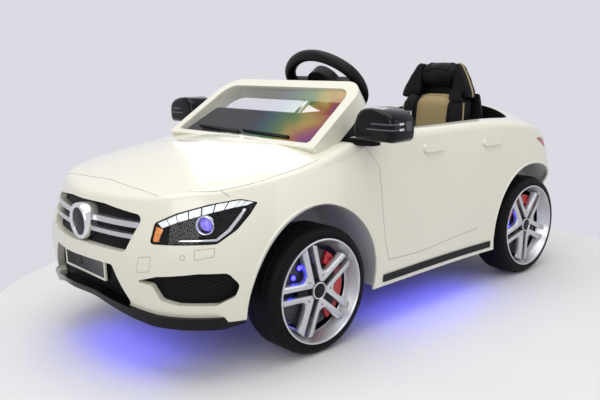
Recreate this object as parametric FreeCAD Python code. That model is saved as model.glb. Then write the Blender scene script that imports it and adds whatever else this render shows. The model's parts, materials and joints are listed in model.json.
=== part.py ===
"""Electric ride-on car for one small child, in millimetres.

The frame stands on the ground at the middle of the car's box: +Z is up, the car drives
towards -Y and its left side is +X. Pieces on the left are built first and mirrored.
"""

import FreeCAD
import Part
import functools
import math
import os

from FreeCAD import Placement, Rotation, Vector

# Overall sizes
LENGTH = 1200.0
BODY_WIDTH = 612.0
SILL_Z = 89.0
BELT_Z = 387.0
BODY_WALL = 4.0
SHOULDER_RADIUS = 20.0
LIP_REACH = 8.0
WAIST_AHEAD = 22.0

# Clearances
FIT = 0.3
RUNNING_FIT = 0.08

# Wheels and axles
WHEELBASE = 700.0
FRONT_AXLE_Y = -268.0
WHEEL_FACE_X = 300.0
TYRE_RADIUS = 120.0
TYRE_WIDTH = 84.0
TYRE_SHOULDER = 12.0
TYRE_ROUNDING = 5.4
TYRE_BULGE = 2.0
RIM_RADIUS = 98.6
BARREL_RADIUS = 88.0
BARREL_WALL = 4.0
RIM_LIP = 6.0
HUB_RADIUS = 24.0
HUB_LENGTH = 60.0
SPOKE_FRONT = 10.0
SPOKE_DEPTH = 12.0
SPOKE_WIDTH = 11.0
SPOKE_GAP = 20.0
WEB_SETBACK = 6.0
SPOKE_COUNT = 5
SPOKE_TURNS = {"front": 13.5, "rear": 31.5}
AXLE_RADIUS = 6.0
AXLE_SETBACK = 6.0
DISC_RADIUS = 74.0
DISC_THICKNESS = 4.0
DISC_SETBACK = 34.0
CALIPER_ARC = 100.0
CALIPER_TURNS = {"front": -145.0, "rear": -65.0}
CALIPER_DEPTH = 26.0
CALIPER_HEIGHT = 7.0
ARCH_RADIUS = 154.0
FRONT_ARCH_SHIFT = 8.0
LINER_RADIUS = 160.0
REAR_LINER_RADIUS = 158.0
LINER_WALL = 3.0
LINER_WAY = 8.0
FRONT_LINER_X = 150.0
REAR_LINER_X = 206.0

# Steering
STEER_ANGLE = 22.0
WHEEL_TURN = 32.0
KINGPIN_X = 205.0
KINGPIN_RADIUS = 5.0
KNUCKLE_RADIUS = 13.0
KNUCKLE_HEIGHT = 38.0
FORK_PLATE = 8.0
STEERING_ARM = 60.0
ARM_WIDTH = 16.0
ARM_THICKNESS = 8.0
ROD_HEIGHT = 8.0
ARM_PIN_RADIUS = 4.0
COLUMN_TILT = 35.0
STEERING_WHEEL_Y = 33.0
STEERING_WHEEL_Z = 475.0
SHAFT_RADIUS = 6.0
TOWER_CAP = 18.0
COLUMN_CLEARANCE = 4.0
PITMAN_THICKNESS = 6.0
PITMAN_GAP = 6.0
PITMAN_HALF = 6.0
SLOT_PLATE = 5.0
SLOT_PLATE_HALF = 12.0
SLOT_RISE = 6.0
SLOT_CUT = 40.0
PITMAN_PIN_RADIUS = 3.0
SLOT_PLAY = 0.6
GRIP_RADIUS = 13.0
WHEEL_HALF_WIDTH = 122.0
WHEEL_HALF_HEIGHT = 92.0
WHEEL_SIDE_ARC = 60.0
SPOKE_HALF = 15.0
BOSS_RADIUS = 42.0
BOSS_DEPTH = 24.0
HORN_RADIUS = 26.0
HORN_HEIGHT = 12.0
HORN_TRAVEL = 2.0

# Windshield
GLASS_BASE_Y = -221.0
GLASS_BASE_Z = 374.0
GLASS_TOP_Y = -83.0
GLASS_TOP_Z = 467.0
GLASS_BASE_HALF = 221.0
GLASS_TOP_HALF = 202.0
GLASS_THICKNESS = 3.0
FRAME_FRONT = 8.0
FRAME_BACK = 30.0
FRAME_WIDTH = 24.0
FRAME_FOOT = 12.0
FRAME_CORNER = 62.0
GLASS_BASE_CORNER = 8.0

# Cockpit
COCKPIT_FRONT_Y = -214.0
COCKPIT_REAR_Y = 512.0
COCKPIT_HALF = 232.0
COCKPIT_REAR_CORNER = 130.0
COCKPIT_FRONT_CORNER = 20.0
TUB_WALL = 3.0
TUB_CORNER = 4.0
LEDGE_Z = 294.0
FOOTWELL_FRONT_Y = -205.0
FOOTWELL_HALF = 140.0
FOOTWELL_STEP = 6.0
TUB_REAR_HALF = 202.0
BENCH_Y = 195.0
BENCH_Z = 211.0
PAN_THICKNESS = 6.0
PAD_DROP = 4.0
PAD_HALF = 100.0
PAD_ENDS = (-50.0, 190.0)
DASH_REAR_Y = -88.0
DASH_TOP_Z = 424.0
DASH_FALL = 12.0
DASH_KNEE = 28.0
DASH_CREST_Y = -118.0
DASH_WALL = 3.0
DASH_FOOT_CORNER = 1.0
DASH_FRONT_CORNER = 10.0
DASH_CREST_CORNER = 30.0
DASH_BROW_CORNER = 8.0
DASH_KNEE_CORNER = 12.0

# Seat
SEAT_HALF = 128.0
SEAT_FRONT_Y = 216.0
SEAT_BACK_FOOT_Y = 438.0
SEAT_TOP_Z = 517.0
SEAT_LEAN = 9.0
SEAT_PLATE = 8.0
CUSHION_HEIGHT = 44.0
BACK_DEPTH = 42.0
BACK_LENGTH = 222.0
HEADREST_HALF = 66.0
HEADREST_DEPTH = 40.0
STRAP_WIDTH = 30.0
STRAP_THICKNESS = 2.5
STRAP_X = 78.0

# Mirrors
MIRROR_INNER_X = 268.0
MIRROR_OUTER_X = 368.0
MIRROR_FRONT_Y = -158.0
MIRROR_REAR_Y = -98.0
MIRROR_PIVOT_Y = -128.0
MIRROR_BASE_Z = 383.0
MIRROR_HEIGHT = 62.0
MIRROR_PIVOT_X = 292.0
MIRROR_PIN_RADIUS = 4.0
MIRROR_ARM_THICKNESS = 10.0
MIRROR_GLASS = 2.5

# Front openings: corners in the front view (x, rise over the sill, radius), left half
GRILLE = [(138.0, 135.0, 12.0), (163.0, 197.0, 12.0), (60.0, 207.0, 60.0)]
INTAKE = [(150.0, 42.0, 8.0), (108.0, 110.0, 8.0)]
LIP_HALF = 268.0
LIP_TOP = [(LIP_HALF, 27.0, 0.0), (190.0, 33.0, 60.0), (62.0, 57.0, 120.0)]
LIP_BOTTOM = [(60.0, 46.0, 120.0), (185.0, 12.0, 60.0), (LIP_HALF, 5.0, 0.0)]
LIP_DEPTH = 30.0
BUMPER_CORNER_RISE = 16.0
# Corner windows: run across from the body's corner, rise over the sill and radius
LAMP_LEAN = 33.5
LAMP_REACH = 200.0
HEADLAMP = [
    (-78.0, 154.0, 6.0), (-71.0, 188.0, 8.0), (-34.0, 204.0, 30.0),
    (14.0, 216.0, 40.0), (60.0, 222.0, 30.0), (86.0, 214.0, 2.0),
    (77.0, 196.0, 20.0), (61.0, 174.0, 20.0), (33.0, 154.0, 12.0),
]
CORNER_INTAKE = [
    (-108.0, 90.0, 2.0), (-64.0, 102.0, 10.0), (5.0, 108.0, 10.0), (51.0, 106.0, 14.0),
    (67.0, 84.0, 12.0), (59.0, 64.0, 12.0), (29.0, 50.0, 12.0), (-32.0, 53.0, 10.0),
    (-59.0, 60.0, 8.0), (-74.0, 86.0, 8.0),
]
TAIL_LAMP = [
    (67.0, 244.0, 2.0), (45.0, 218.0, 10.0), (-60.0, 196.0, 10.0), (-147.0, 196.0, 6.0),
    (-143.0, 226.0, 6.0), (-45.0, 228.0, 30.0), (20.0, 238.0, 30.0),
]
LAMP_DEPTH = 40.0
LAMP_OPTICS = ((8.0, 182.0, 17.0, 20.0), (-44.0, 176.0, 10.0, 16.0))
COLLAR_WALL = 3.0
COLLAR_DEPTH = 10.0
PANEL_THICKNESS = 3.0
GRILLE_BARS = ((158.0, 165.0), (176.0, 185.0))
GRILLE_BOSS_RISE = 169.0
BOSS_RIM = 33.0
BOSS_SETBACK = 8.0
BAR_SETBACK = 2.0
PLATE_WIDTH = 157.0
PLATE_HEIGHT = 37.0
PLATE_THICKNESS = 3.0
PLATE_STUB = 6.0
PLATE_RISE = 73.0
DIFFUSER_HALF = 210.0
DIFFUSER_RISE = 52.0
SILL_TRIM_RISE = 9.0
SILL_TRIM_HEIGHT = 15.0
SILL_TRIM_REACH = 2.5
SILL_TRIM_MARGIN = 14.0
DOOR_HANDLES = ((78.0, 257.0), (277.0, 251.0))
HANDLE_LENGTH = 62.0
HANDLE_HEIGHT = 15.0
HANDLE_REACH = 6.0
HANDLE_CORNER = 6.7
WIPER_STARTS = (-10.0, 150.0)
WIPER_LENGTH = 150.0
WIPER_LIFT = 10.0
WIPER_RISE = 22.0
WIPER_WIDTH = 6.0
WIPER_TIP = 4.0

# Chassis and drive
PAN_SETBACK = 62.0
SCREW_POINTS = ((112.0, -170.0), (112.0, -20.0), (170.0, 80.0), (112.0, 170.0))
SCREW_RADIUS = 2.0
SCREW_HEAD_RADIUS = 4.5
SCREW_HEAD_HEIGHT = 2.5
GLOW_HEIGHT = 6.0
GLOW_WIDTH = 12.0
GLOW_SILL_INSET = 40.0
BATTERY_LENGTH = 150.0
BATTERY_WIDTH = 66.0
BATTERY_HEIGHT = 92.0
BATTERY_Y = 250.0
CONTROL_X = 105.0
CONTROL_LENGTH = 84.0
CONTROL_WIDTH = 60.0
CONTROL_HEIGHT = 30.0
GEARBOX_WIDTH = 54.0
GEARBOX_AHEAD = 74.0
GEARBOX_BEHIND = 44.0
GEARBOX_HEIGHT = 98.0
GEARBOX_FOOT_CORNER = 4.0
GEARBOX_TOP_CORNER = 24.0
MOTOR_RADIUS = 21.0
MOTOR_LENGTH = 60.0
MOTOR_DROP = 8.0
BEAM_SIZE = 24.0
BEAM_FOOT_X = 100.0
FORK_CLEARANCE = 4.0

# Controls
CONTROLS_Z = 357.0
POWER_X = 95.0
POWER_RADIUS = 9.0
POWER_LENGTH = 14.0
POWER_PROUD = 4.0
SWITCH_X = -95.0
SWITCH_Y = -97.0
SWITCH_WIDTH = 13.0
SWITCH_HALF = 9.0
SWITCH_SLOT = 13.0
SWITCH_PIN = 2.0
SWITCH_LUG = 4.0
SWITCH_PROUD = 5.0
PEDAL_X = -72.0
PEDAL_Y = -110.0
PEDAL_Z = 110.0
PEDAL_WIDTH = 56.0
PEDAL_LENGTH = 86.0
PEDAL_PLATE = 6.0
PEDAL_BARREL = 7.0
PEDAL_PIN = 3.0
PEDAL_LUG = 6.0
PEDAL_REST_ANGLE = 40.0

# Soft pads
PAD_DRAW = 14.0
PAD_EASE = 24.0
PAD_WAIST = 2.5
PAD_FOOT_DRAW = 8.0
PAD_SIDE_DRAW = 12.0
SHOULDER_DRAW = 14.0
HEADREST_DRAW = 2.0
HEADREST_EASE = 17.0
# Shares of a pad's half width or height
PAD_CHANNEL = 0.55
PAD_SHOULDER = 0.72
PAD_VALLEY = 0.78
PAD_CROWN = 0.96
PAD_END = 0.55
PAD_EASED = 0.94

# Seat shell, straps and mirror details
SHELL_MARGIN = 6.0
SHELL_WIDE_RUN = 151.0
SHELL_WIDE_CORNER = 30.0
SHELL_TOP_CORNER = 20.0
CUSHION_GAP = 2.0
HEADREST_GAP = 6.0
STRAP_START = 30.0
STRAP_BACK_END = 155.0
CLIP_MARGIN = 4.0
CLIP_LENGTH = 26.0
CLIP_THICKNESS = 5.0
MIRROR_ROUNDING = 18.0
MIRROR_PIN_LENGTH = 20.0
MIRROR_RIM = 7.0
MIRROR_ARM_HALF = 14.0
MIRROR_TIP_CORNER = 10.0

# Values worked out from the sizes above
BODY_HALF = BODY_WIDTH / 2
NOSE_Y = -LENGTH / 2 + LIP_REACH
TAIL_Y = LENGTH / 2
WHEEL_Z = TYRE_RADIUS
REAR_AXLE_Y = FRONT_AXLE_Y + WHEELBASE
AXLE_YS = {"front": FRONT_AXLE_Y, "rear": REAR_AXLE_Y}
LINERS = {"front": (FRONT_LINER_X, LINER_RADIUS), "rear": (REAR_LINER_X, REAR_LINER_RADIUS)}
PAN_TOP_Z = SILL_Z + PAN_THICKNESS
WAIST_Y = (FRONT_AXLE_Y + REAR_AXLE_Y) / 2 - WAIST_AHEAD
X_AXIS = Vector(1, 0, 0)
Z_AXIS = Vector(0, 0, 1)
TILT = math.radians(COLUMN_TILT)
COLUMN_DOWN = Vector(0, -math.cos(TILT), -math.sin(TILT))
COLUMN_SIDE = Vector(0, math.sin(TILT), -math.cos(TILT))
WHEEL_CENTRE = Vector(0, STEERING_WHEEL_Y, STEERING_WHEEL_Z)
WHEEL_PLACE = Placement(WHEEL_CENTRE, Rotation(X_AXIS, COLUMN_TILT - 90.0))
ROD_Y = FRONT_AXLE_Y - STEERING_ARM
ROD_TOP_Z = WHEEL_Z + KNUCKLE_HEIGHT / 2 + ROD_HEIGHT
PITMAN_ARM = STEERING_ARM * math.sin(math.radians(STEER_ANGLE)) / math.sin(math.radians(WHEEL_TURN))
SHAFT_REACH = (STEERING_WHEEL_Y - PITMAN_ARM * math.sin(TILT) - ROD_Y) / math.cos(TILT)
SHAFT_LENGTH = SHAFT_REACH - PITMAN_THICKNESS - PITMAN_GAP - SLOT_PLATE / 2

# Body rings from sill to belt: rise over the sill, then how far the ring draws in from the
# widest plan at the nose, front corner, front axle, doors, rear axle, rear corner and tail.
WALL_RINGS = (
    (0.0, 14.0, 28.0, 10.0, 14.0, 7.0, 37.0, 20.0),
    (50.0, 2.0, 16.0, 3.0, 12.0, 2.0, 24.0, 8.0),
    (120.0, 0.0, 12.0, 0.0, 13.0, 0.0, 18.0, 0.0),
    (190.0, 18.0, 24.0, 7.0, 20.0, 5.0, 22.0, 2.0),
    (250.0, 44.0, 44.0, 23.0, 30.0, 15.0, 34.0, 16.0),
    (300.0, 72.0, 66.0, 44.0, 42.0, 28.0, 51.0, 34.0),
    (340.0, 97.0, 88.0, 66.0, 54.0, 44.0, 70.0, 52.0),
)
# Rounding of the nose in plan: share of the corner's half width, and run behind the nose.
NOSE_CURVE = ((0.34, 10.0), (0.58, 28.0), (0.75, 54.0), (0.885, 95.0), (1.0, 160.0))
TAIL_CURVE = ((1.0, 70.0), (0.85, 30.0), (0.55, 8.0))

# Top skin: place along the car, drop of the centre line and of the edge below the belt.
TOP_FROM_NOSE = (
    (-58.0, 160.0, 178.0),
    (-8.0, 98.0, 108.0),
    (26.0, 79.0, 96.0),
    (50.0, 69.0, 86.0),
    (92.0, 54.0, 72.0),
    (152.0, 37.0, 58.0),
    (212.0, 24.0, 48.0),
    (292.0, 13.0, 36.0),
    (375.0, 7.0, 23.0),
    (442.0, 0.0, 9.0),
    (502.0, -4.0, 1.0),
)
TOP_FROM_TAIL = (
    (540.0, -6.0, 0.0),
    (350.0, -6.0, 1.0),
    (200.0, -8.0, 8.0),
    (120.0, -14.0, 22.0),
    (60.0, -18.0, 46.0),
    (30.0, 0.0, 66.0),
    (5.0, 50.0, 100.0),
    (-15.0, 86.0, 130.0),
    (-33.0, 118.0, 160.0),
    (-50.0, 150.0, 190.0),
)
TOP_EDGE_X = 250.0
TOP_CROWN = 2.2
TOP_COLUMNS = (-1.36, -1.0, -0.66, -0.33, 0.0, 0.33, 0.66, 1.0, 1.36)


def box(low, high):
    """A block between two corners."""
    size = Vector(*high) - Vector(*low)
    return Part.makeBox(size.x, size.y, size.z, Vector(*low))


def rod(radius, start, end):
    """A cylinder between two points."""
    start = Vector(*start)
    run = Vector(*end) - start
    return Part.makeCylinder(radius, run.Length, start, run)


def upright_rod(radius, x, y, low, high):
    """A vertical cylinder between two heights."""
    return rod(radius, (x, y, low), (x, y, high))


def mirrored(shape):
    """The same piece on the car's right side."""
    return shape.mirror(Vector(0, 0, 0), X_AXIS)


def pair(shape):
    """A left piece and its mirror image as two solids."""
    return Part.makeCompound([shape, mirrored(shape)])


def outline(corners, place):
    """A closed wire through corners (u, v, radius), each corner an arc of its radius."""
    count = len(corners)
    starts, ends, edges = [], [], []
    for index, (u, v, radius) in enumerate(corners):
        here = Vector(u, v, 0)
        before = Vector(*corners[index - 1][:2], 0) - here
        after = Vector(*corners[(index + 1) % count][:2], 0) - here
        turn = before.getAngle(after)
        run = radius / math.tan(turn / 2)
        starts.append(here + before.normalize() * run)
        ends.append(here + after.normalize() * run)
    for index, (u, v, radius) in enumerate(corners):
        start, end = starts[index], ends[index]
        if radius > 0:
            here = Vector(u, v, 0)
            chord = (start + end) / 2
            half_turn = (start - here).getAngle(chord - here)
            reach = radius / math.sin(half_turn) - radius
            middle = here + (chord - here).normalize() * reach
            arc = Part.Arc(place(start.x, start.y), place(middle.x, middle.y), place(end.x, end.y))
            edges.append(arc.toShape())
        following = starts[(index + 1) % count]
        if (following - end).Length > 1e-6:
            edges.append(Part.makeLine(place(end.x, end.y), place(following.x, following.y)))
    return Part.Wire(edges)


def prism(wire, run):
    """A flat closed wire pushed along a vector."""
    return Part.Face(wire).extrude(run)


def on_ground(u, v):
    """Plan coordinates (x, y) at the ground."""
    return Vector(u, v, 0)


def on_front(u, v):
    """Front view coordinates (x, rise over the sill), well ahead of the car."""
    return Vector(u, -LENGTH, SILL_Z + v)


def on_side(u, v):
    """Side view coordinates (y, z) in the middle plane."""
    return Vector(0, u, v)


def side_slab(corners, half_width):
    """A side view outline with a width, even about the middle plane."""
    slab = prism(outline(corners, on_side), Vector(2 * half_width, 0, 0))
    slab.translate(Vector(-half_width, 0, 0))
    return slab


def even(corners):
    """Left corners of an outline, followed by their mirror images in reverse."""
    return list(corners) + [(-u, v, radius) for u, v, radius in reversed(corners)]


# Body hull

def ring_points(ring, inset):
    """Plan points of one body ring, drawn in square to its outline by inset."""
    rise, nose, corner, front, doors, rear, hip, tail = ring
    corner_x, front_x, door_x = BODY_HALF - corner, BODY_HALF - front, BODY_HALF - doors
    rear_x, hip_x = BODY_HALF - rear, BODY_HALF - hip
    left = [(corner_x * share, NOSE_Y + nose + run) for share, run in NOSE_CURVE]
    left.append((front_x, FRONT_AXLE_Y))
    left.append(((front_x + door_x) / 2, (FRONT_AXLE_Y + WAIST_Y) / 2))
    left.append((door_x, WAIST_Y))
    left.append(((rear_x + door_x) / 2, (REAR_AXLE_Y + WAIST_Y) / 2))
    left.append((rear_x, REAR_AXLE_Y))
    left += [(hip_x * share, TAIL_Y - tail - run) for share, run in TAIL_CURVE]
    right = [(-x, y) for x, y in reversed(left)]
    loop = [(0.0, NOSE_Y + nose)] + left + [(0.0, TAIL_Y - tail)] + right
    points = [Vector(x, y, SILL_Z + rise) for x, y in loop]
    moved = []
    for index, point in enumerate(points):
        along = points[(index + 1) % len(points)] - points[index - 1]
        outward = Vector(along.y, -along.x, 0).normalize()
        moved.append(point - outward * inset)
    return moved


def ring_parameters():
    """Shared curve parameters, by the length of the widest ring, so that all rings line up."""
    points = ring_points(WALL_RINGS[2], 0.0)
    parameters = [0.0]
    for index, point in enumerate(points):
        following = points[(index + 1) % len(points)]
        parameters.append(parameters[-1] + (following - point).Length)
    return [value / parameters[-1] for value in parameters]


@functools.lru_cache(maxsize=None)
def walls(inset):
    """Solid inside the body's side walls, drawn in by inset."""
    parameters = ring_parameters()
    wires = []
    for ring in WALL_RINGS:
        curve = Part.BSplineCurve()
        curve.interpolate(
            Points=ring_points(ring, inset), PeriodicFlag=True, Parameters=parameters
        )
        wires.append(Part.Wire([curve.toShape()]))
    return Part.makeLoft(wires, True, False)


def below_top(drop):
    """Solid under the body's top skin, lowered by drop."""
    stations = [(NOSE_Y + run, centre, edge) for run, centre, edge in TOP_FROM_NOSE]
    stations += [(TAIL_Y - run, centre, edge) for run, centre, edge in TOP_FROM_TAIL]
    rows = []
    for y, centre, edge in stations:
        row = []
        for share in TOP_COLUMNS:
            fall = centre + (edge - centre) * abs(share) ** TOP_CROWN
            row.append(Vector(TOP_EDGE_X * share, y, BELT_Z - fall - drop))
        rows.append(row)
    surface = Part.BSplineSurface()
    surface.interpolate(rows)
    return surface.toShape().extrude(Vector(0, 0, -BELT_Z))


@functools.lru_cache(maxsize=None)
def hull(inset):
    """The body as a full solid, drawn in all round by inset, with its shoulder rounded."""
    solid = walls(inset).common(below_top(inset))
    shoulder = []
    for edge in solid.Edges:
        middle = edge.valueAt((edge.FirstParameter + edge.LastParameter) / 2)
        faces = solid.ancestorsOfType(edge, Part.Face)
        if middle.z > (SILL_Z + BELT_Z) / 2 and not faces[0].isSame(faces[-1]):
            shoulder.append(edge)
    return solid.makeFillet(SHOULDER_RADIUS - inset, shoulder)


def skin(front_inset, back_inset, window):
    """A curved panel that follows the body's walls, seen through a window's prism."""
    return walls(front_inset).cut(walls(back_inset)).common(window).common(hull(BODY_WALL))


# Openings in the body

def front_window(corners, grow=0.0):
    """A front view outline, grown all round, pushed back through the nose."""
    wire = outline(corners, lambda x, rise: Vector(x, NOSE_Y - LAMP_REACH, SILL_Z + rise))
    return prism(grown(wire, grow), Vector(0, 2 * LAMP_REACH, 0))


def corner_window(corners, facing, grow=0.0):
    """A window at the left front (facing -1) or left rear (facing 1) corner of the body.

    Its outline is drawn square to a line that leans from the corner towards the side.
    """
    lean = math.radians(LAMP_LEAN)
    outward = Vector(math.sin(lean), facing * math.cos(lean), 0)
    across = Vector(math.cos(lean), -facing * math.sin(lean), 0)
    corner = Vector(BODY_HALF, NOSE_Y if facing < 0 else TAIL_Y, 0)
    start = corner + outward * LAMP_REACH + Z_AXIS * SILL_Z
    wire = outline(corners, lambda s, rise: start + across * s + Z_AXIS * rise)
    return prism(grown(wire, grow), outward * (-2 * LAMP_REACH))


def grown(wire, distance):
    """The wire, moved outward (or inward) in its own plane."""
    return wire.makeOffset2D(distance) if distance else wire


def grille_window(grow=0.0):
    """Upper grille opening."""
    return front_window(even(GRILLE), grow)


def intake_window(grow=0.0):
    """Lower middle intake."""
    return front_window(even(INTAKE), grow)


def corner_intake_window(grow=0.0):
    """Left corner intake."""
    return corner_window(CORNER_INTAKE, -1, grow)


def headlamp_window(grow=0.0):
    """Left headlamp opening."""
    return corner_window(HEADLAMP, -1, grow)


def tail_lamp_window(grow=0.0):
    """Left tail lamp opening."""
    return corner_window(TAIL_LAMP, 1, grow)


def cockpit_outline(inset, front_y=COCKPIT_FRONT_Y, half=COCKPIT_HALF):
    """Plan of the cockpit opening, drawn in by inset."""
    rear, front = COCKPIT_REAR_CORNER - inset, max(COCKPIT_FRONT_CORNER - inset, 1.0)
    left = [
        (half - inset, front_y + inset, front),
        (half - inset, COCKPIT_REAR_Y - inset, rear),
    ]
    return outline(even(left), on_ground)


def upright(wire, low, high):
    """A plan outline as a block between two heights."""
    block = prism(wire, Vector(0, 0, high - low))
    block.translate(Vector(0, 0, low))
    return block


def arch_tunnel(axle):
    """What the wheel arch of one axle cuts from both sides of the body."""
    y, z = AXLE_YS[axle], WHEEL_Z
    if axle == "front":
        y, z = y - FRONT_ARCH_SHIFT, z + FRONT_ARCH_SHIFT
    return rod(ARCH_RADIUS, (-BODY_WIDTH, y, z), (BODY_WIDTH, y, z))


def under_bumper():
    """What lies below the front bumper: the lip's space, and less at the corners."""
    rise = BUMPER_CORNER_RISE
    left = [(BODY_WIDTH, -SILL_Z, 0.0), (BODY_WIDTH, rise, 0.0), (LIP_HALF, rise, 0.0)]
    left += LIP_TOP
    wire = outline(even(left), on_front)
    return prism(wire, Vector(0, LENGTH + FRONT_AXLE_Y - ARCH_RADIUS / 2, 0))


def diffuser_space(inset):
    """Space of the rear diffuser in the bumper, drawn in by inset."""
    half = DIFFUSER_HALF - inset
    low, high = 0.0, SILL_Z + DIFFUSER_RISE - inset
    return box((-half, REAR_AXLE_Y + HUB_RADIUS, low), (half, LENGTH, high))


def body_void():
    """Space inside the body: drawn in by the wall, less the returns behind the front openings."""
    void = hull(BODY_WALL)
    deep = walls(BODY_WALL + COLLAR_DEPTH)
    corner = corner_intake_window(COLLAR_WALL).cut(deep)
    front = [window(COLLAR_WALL).cut(deep) for window in (grille_window, intake_window)]
    for block in front + [corner, mirrored(corner)]:
        void = void.cut(block)
    return void


def body_shell():
    """The one-piece moulded body."""
    openings = [grille_window(), intake_window()]
    for window in (corner_intake_window, headlamp_window, tail_lamp_window):
        openings += [window(), mirrored(window())]
    openings += [under_bumper(), diffuser_space(0.0)]
    openings.append(upright(cockpit_outline(0.0), LEDGE_Z, LENGTH))
    openings += [arch_tunnel(axle) for axle in AXLE_YS]
    shell = hull(0.0).cut(body_void())
    for opening in openings:
        shell = shell.cut(opening)
    return shell


def door_handle(y, rise):
    """A grip that stands out of the left side."""
    z = SILL_Z + rise
    half, tall = HANDLE_LENGTH / 2, HANDLE_HEIGHT / 2
    corners = [(y - half, z - tall), (y + half, z - tall), (y + half, z + tall), (y - half, z + tall)]
    wire = outline([(u, v, HANDLE_CORNER) for u, v in corners], on_side)
    return walls(-HANDLE_REACH).cut(walls(0.0)).common(prism(wire, Vector(LENGTH, 0, 0)))


def door_handles():
    """Grips on both sides, each its own solid."""
    handles = [door_handle(y, rise) for y, rise in DOOR_HANDLES]
    return Part.makeCompound(handles + [mirrored(handle) for handle in handles])


def lens(window):
    """A lamp lens: the body's own wall inside a window, less a fitting gap."""
    return hull(0.0).common(window(-FIT)).cut(hull(BODY_WALL))


# Front trim

def grille_mesh():
    """Black mesh panel behind the grille's collar."""
    depth = BODY_WALL + COLLAR_DEPTH
    return skin(depth, depth + PANEL_THICKNESS, grille_window(COLLAR_WALL))


def grille_bars():
    """Twin bars across the grille that carry the round boss, all one moulding."""
    depth = BODY_WALL + COLLAR_DEPTH
    bars = []
    for low, high in GRILLE_BARS:
        band = box((-BODY_HALF, -LENGTH, SILL_Z + low), (BODY_HALF, FRONT_AXLE_Y, SILL_Z + high))
        bars.append(walls(BAR_SETBACK).cut(walls(depth)).common(band).common(grille_window()))
    z = SILL_Z + GRILLE_BOSS_RISE
    back = rod(BOSS_RIM, (0, FRONT_AXLE_Y, z), (0, NOSE_Y + BOSS_SETBACK, z))
    return bars[0].fuse(bars[1:] + [back.cut(walls(depth))])


def intake_meshes():
    """Mesh panels behind the lower intake and the two corner intakes."""
    depth = BODY_WALL + COLLAR_DEPTH
    middle = skin(depth, depth + PANEL_THICKNESS, intake_window(COLLAR_WALL)).cut(under_bumper())
    corner = skin(depth, depth + PANEL_THICKNESS, corner_intake_window(COLLAR_WALL))
    return Part.makeCompound([middle, corner, mirrored(corner)])


def number_plate():
    """Blank plate on two stubs that stand on the lower intake's mesh."""
    back = NOSE_Y + BODY_WALL + COLLAR_DEPTH
    half = PLATE_WIDTH / 2
    low = SILL_Z + PLATE_RISE
    plate = box((-half, back - PLATE_THICKNESS, low), (half, back, low + PLATE_HEIGHT))
    middle = low + PLATE_HEIGHT / 2
    stubs = []
    for side in (-1, 1):
        x = side * half / 2
        stubs.append(rod(PLATE_STUB, (x, back, middle), (x, FRONT_AXLE_Y, middle)))
    return plate.fuse(stubs).cut(walls(BODY_WALL + COLLAR_DEPTH))


def front_splitter():
    """Black lip under the bumper, raised in the middle."""
    wire = outline(even(LIP_BOTTOM + [(LIP_HALF, BUMPER_CORNER_RISE, 0.0)] + LIP_TOP), on_front)
    band = prism(wire, Vector(0, LENGTH + FRONT_AXLE_Y - ARCH_RADIUS, 0))
    return walls(-LIP_REACH).cut(walls(LIP_DEPTH)).common(band)


def headlamp_bucket():
    """Left headlamp bucket, a cup behind the lens."""
    depth = LAMP_DEPTH
    cup = walls(BODY_WALL).cut(walls(depth)).common(headlamp_window(-FIT)).common(hull(BODY_WALL))
    hollow = walls(0.0).cut(walls(depth - PANEL_THICKNESS))
    return cup.cut(hollow.common(headlamp_window(-FIT - PANEL_THICKNESS)))


def headlamp_optics():
    """Left projector and side light, on the bucket's back wall."""
    lean = math.radians(LAMP_LEAN)
    outward = Vector(math.sin(lean), -math.cos(lean), 0)
    across = Vector(math.cos(lean), math.sin(lean), 0)
    corner = Vector(BODY_HALF, NOSE_Y, 0)
    solids = []
    for s, rise, radius, length in LAMP_OPTICS:
        far = corner + across * s + Z_AXIS * (SILL_Z + rise) - outward * (2 * LAMP_REACH)
        tube = Part.makeCylinder(radius, 4 * LAMP_REACH, far, outward)
        inset = LAMP_DEPTH - PANEL_THICKNESS
        solids.append(tube.common(walls(inset - length)).cut(walls(inset)).common(corner_half()))
    return solids


def corner_half():
    """The left front corner of the car's space."""
    return box((FRONT_LINER_X, -LENGTH, 0), (LENGTH, FRONT_AXLE_Y, LENGTH))


def rear_diffuser():
    """Black insert in the rear bumper."""
    return walls(0.0).cut(walls(BODY_WALL)).common(diffuser_space(FIT))


def sill_trim():
    """Left black strip along the sill, on the outside of the body."""
    low = SILL_Z + SILL_TRIM_RISE
    high = low + SILL_TRIM_HEIGHT
    start = FRONT_AXLE_Y + ARCH_RADIUS + SILL_TRIM_MARGIN
    end = REAR_AXLE_Y - ARCH_RADIUS - SILL_TRIM_MARGIN
    strip = box((0, start, low), (LENGTH, end, high))
    return walls(-SILL_TRIM_REACH).cut(walls(0.0)).common(strip)


# Windshield

def glass_height():
    """Length of the glass up its slope."""
    return math.hypot(GLASS_TOP_Y - GLASS_BASE_Y, GLASS_TOP_Z - GLASS_BASE_Z)


def glass_place(offset):
    """Maps windshield coordinates (across, up the slope) to a plane ahead of the glass."""
    slope = Vector(0, GLASS_TOP_Y - GLASS_BASE_Y, GLASS_TOP_Z - GLASS_BASE_Z).normalize()
    forward = Vector(0, -slope.z, slope.y)
    base = Vector(0, GLASS_BASE_Y, GLASS_BASE_Z) + forward * offset
    return lambda u, v: base + X_AXIS * u + slope * v


def glass_slab(corners, low, high, grow=0.0):
    """A windshield outline, grown all round, between two offsets from the glass plane."""
    place = glass_place(low)
    thickness = glass_place(high)(0, 0) - place(0, 0)
    return prism(grown(outline(corners, place), grow), thickness)


def glass_corners():
    """Outline of the glass, which is also the frame's opening."""
    inner = FRAME_CORNER - FRAME_WIDTH
    return even([(GLASS_BASE_HALF, 0.0, GLASS_BASE_CORNER), (GLASS_TOP_HALF, glass_height(), inner)])


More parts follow.
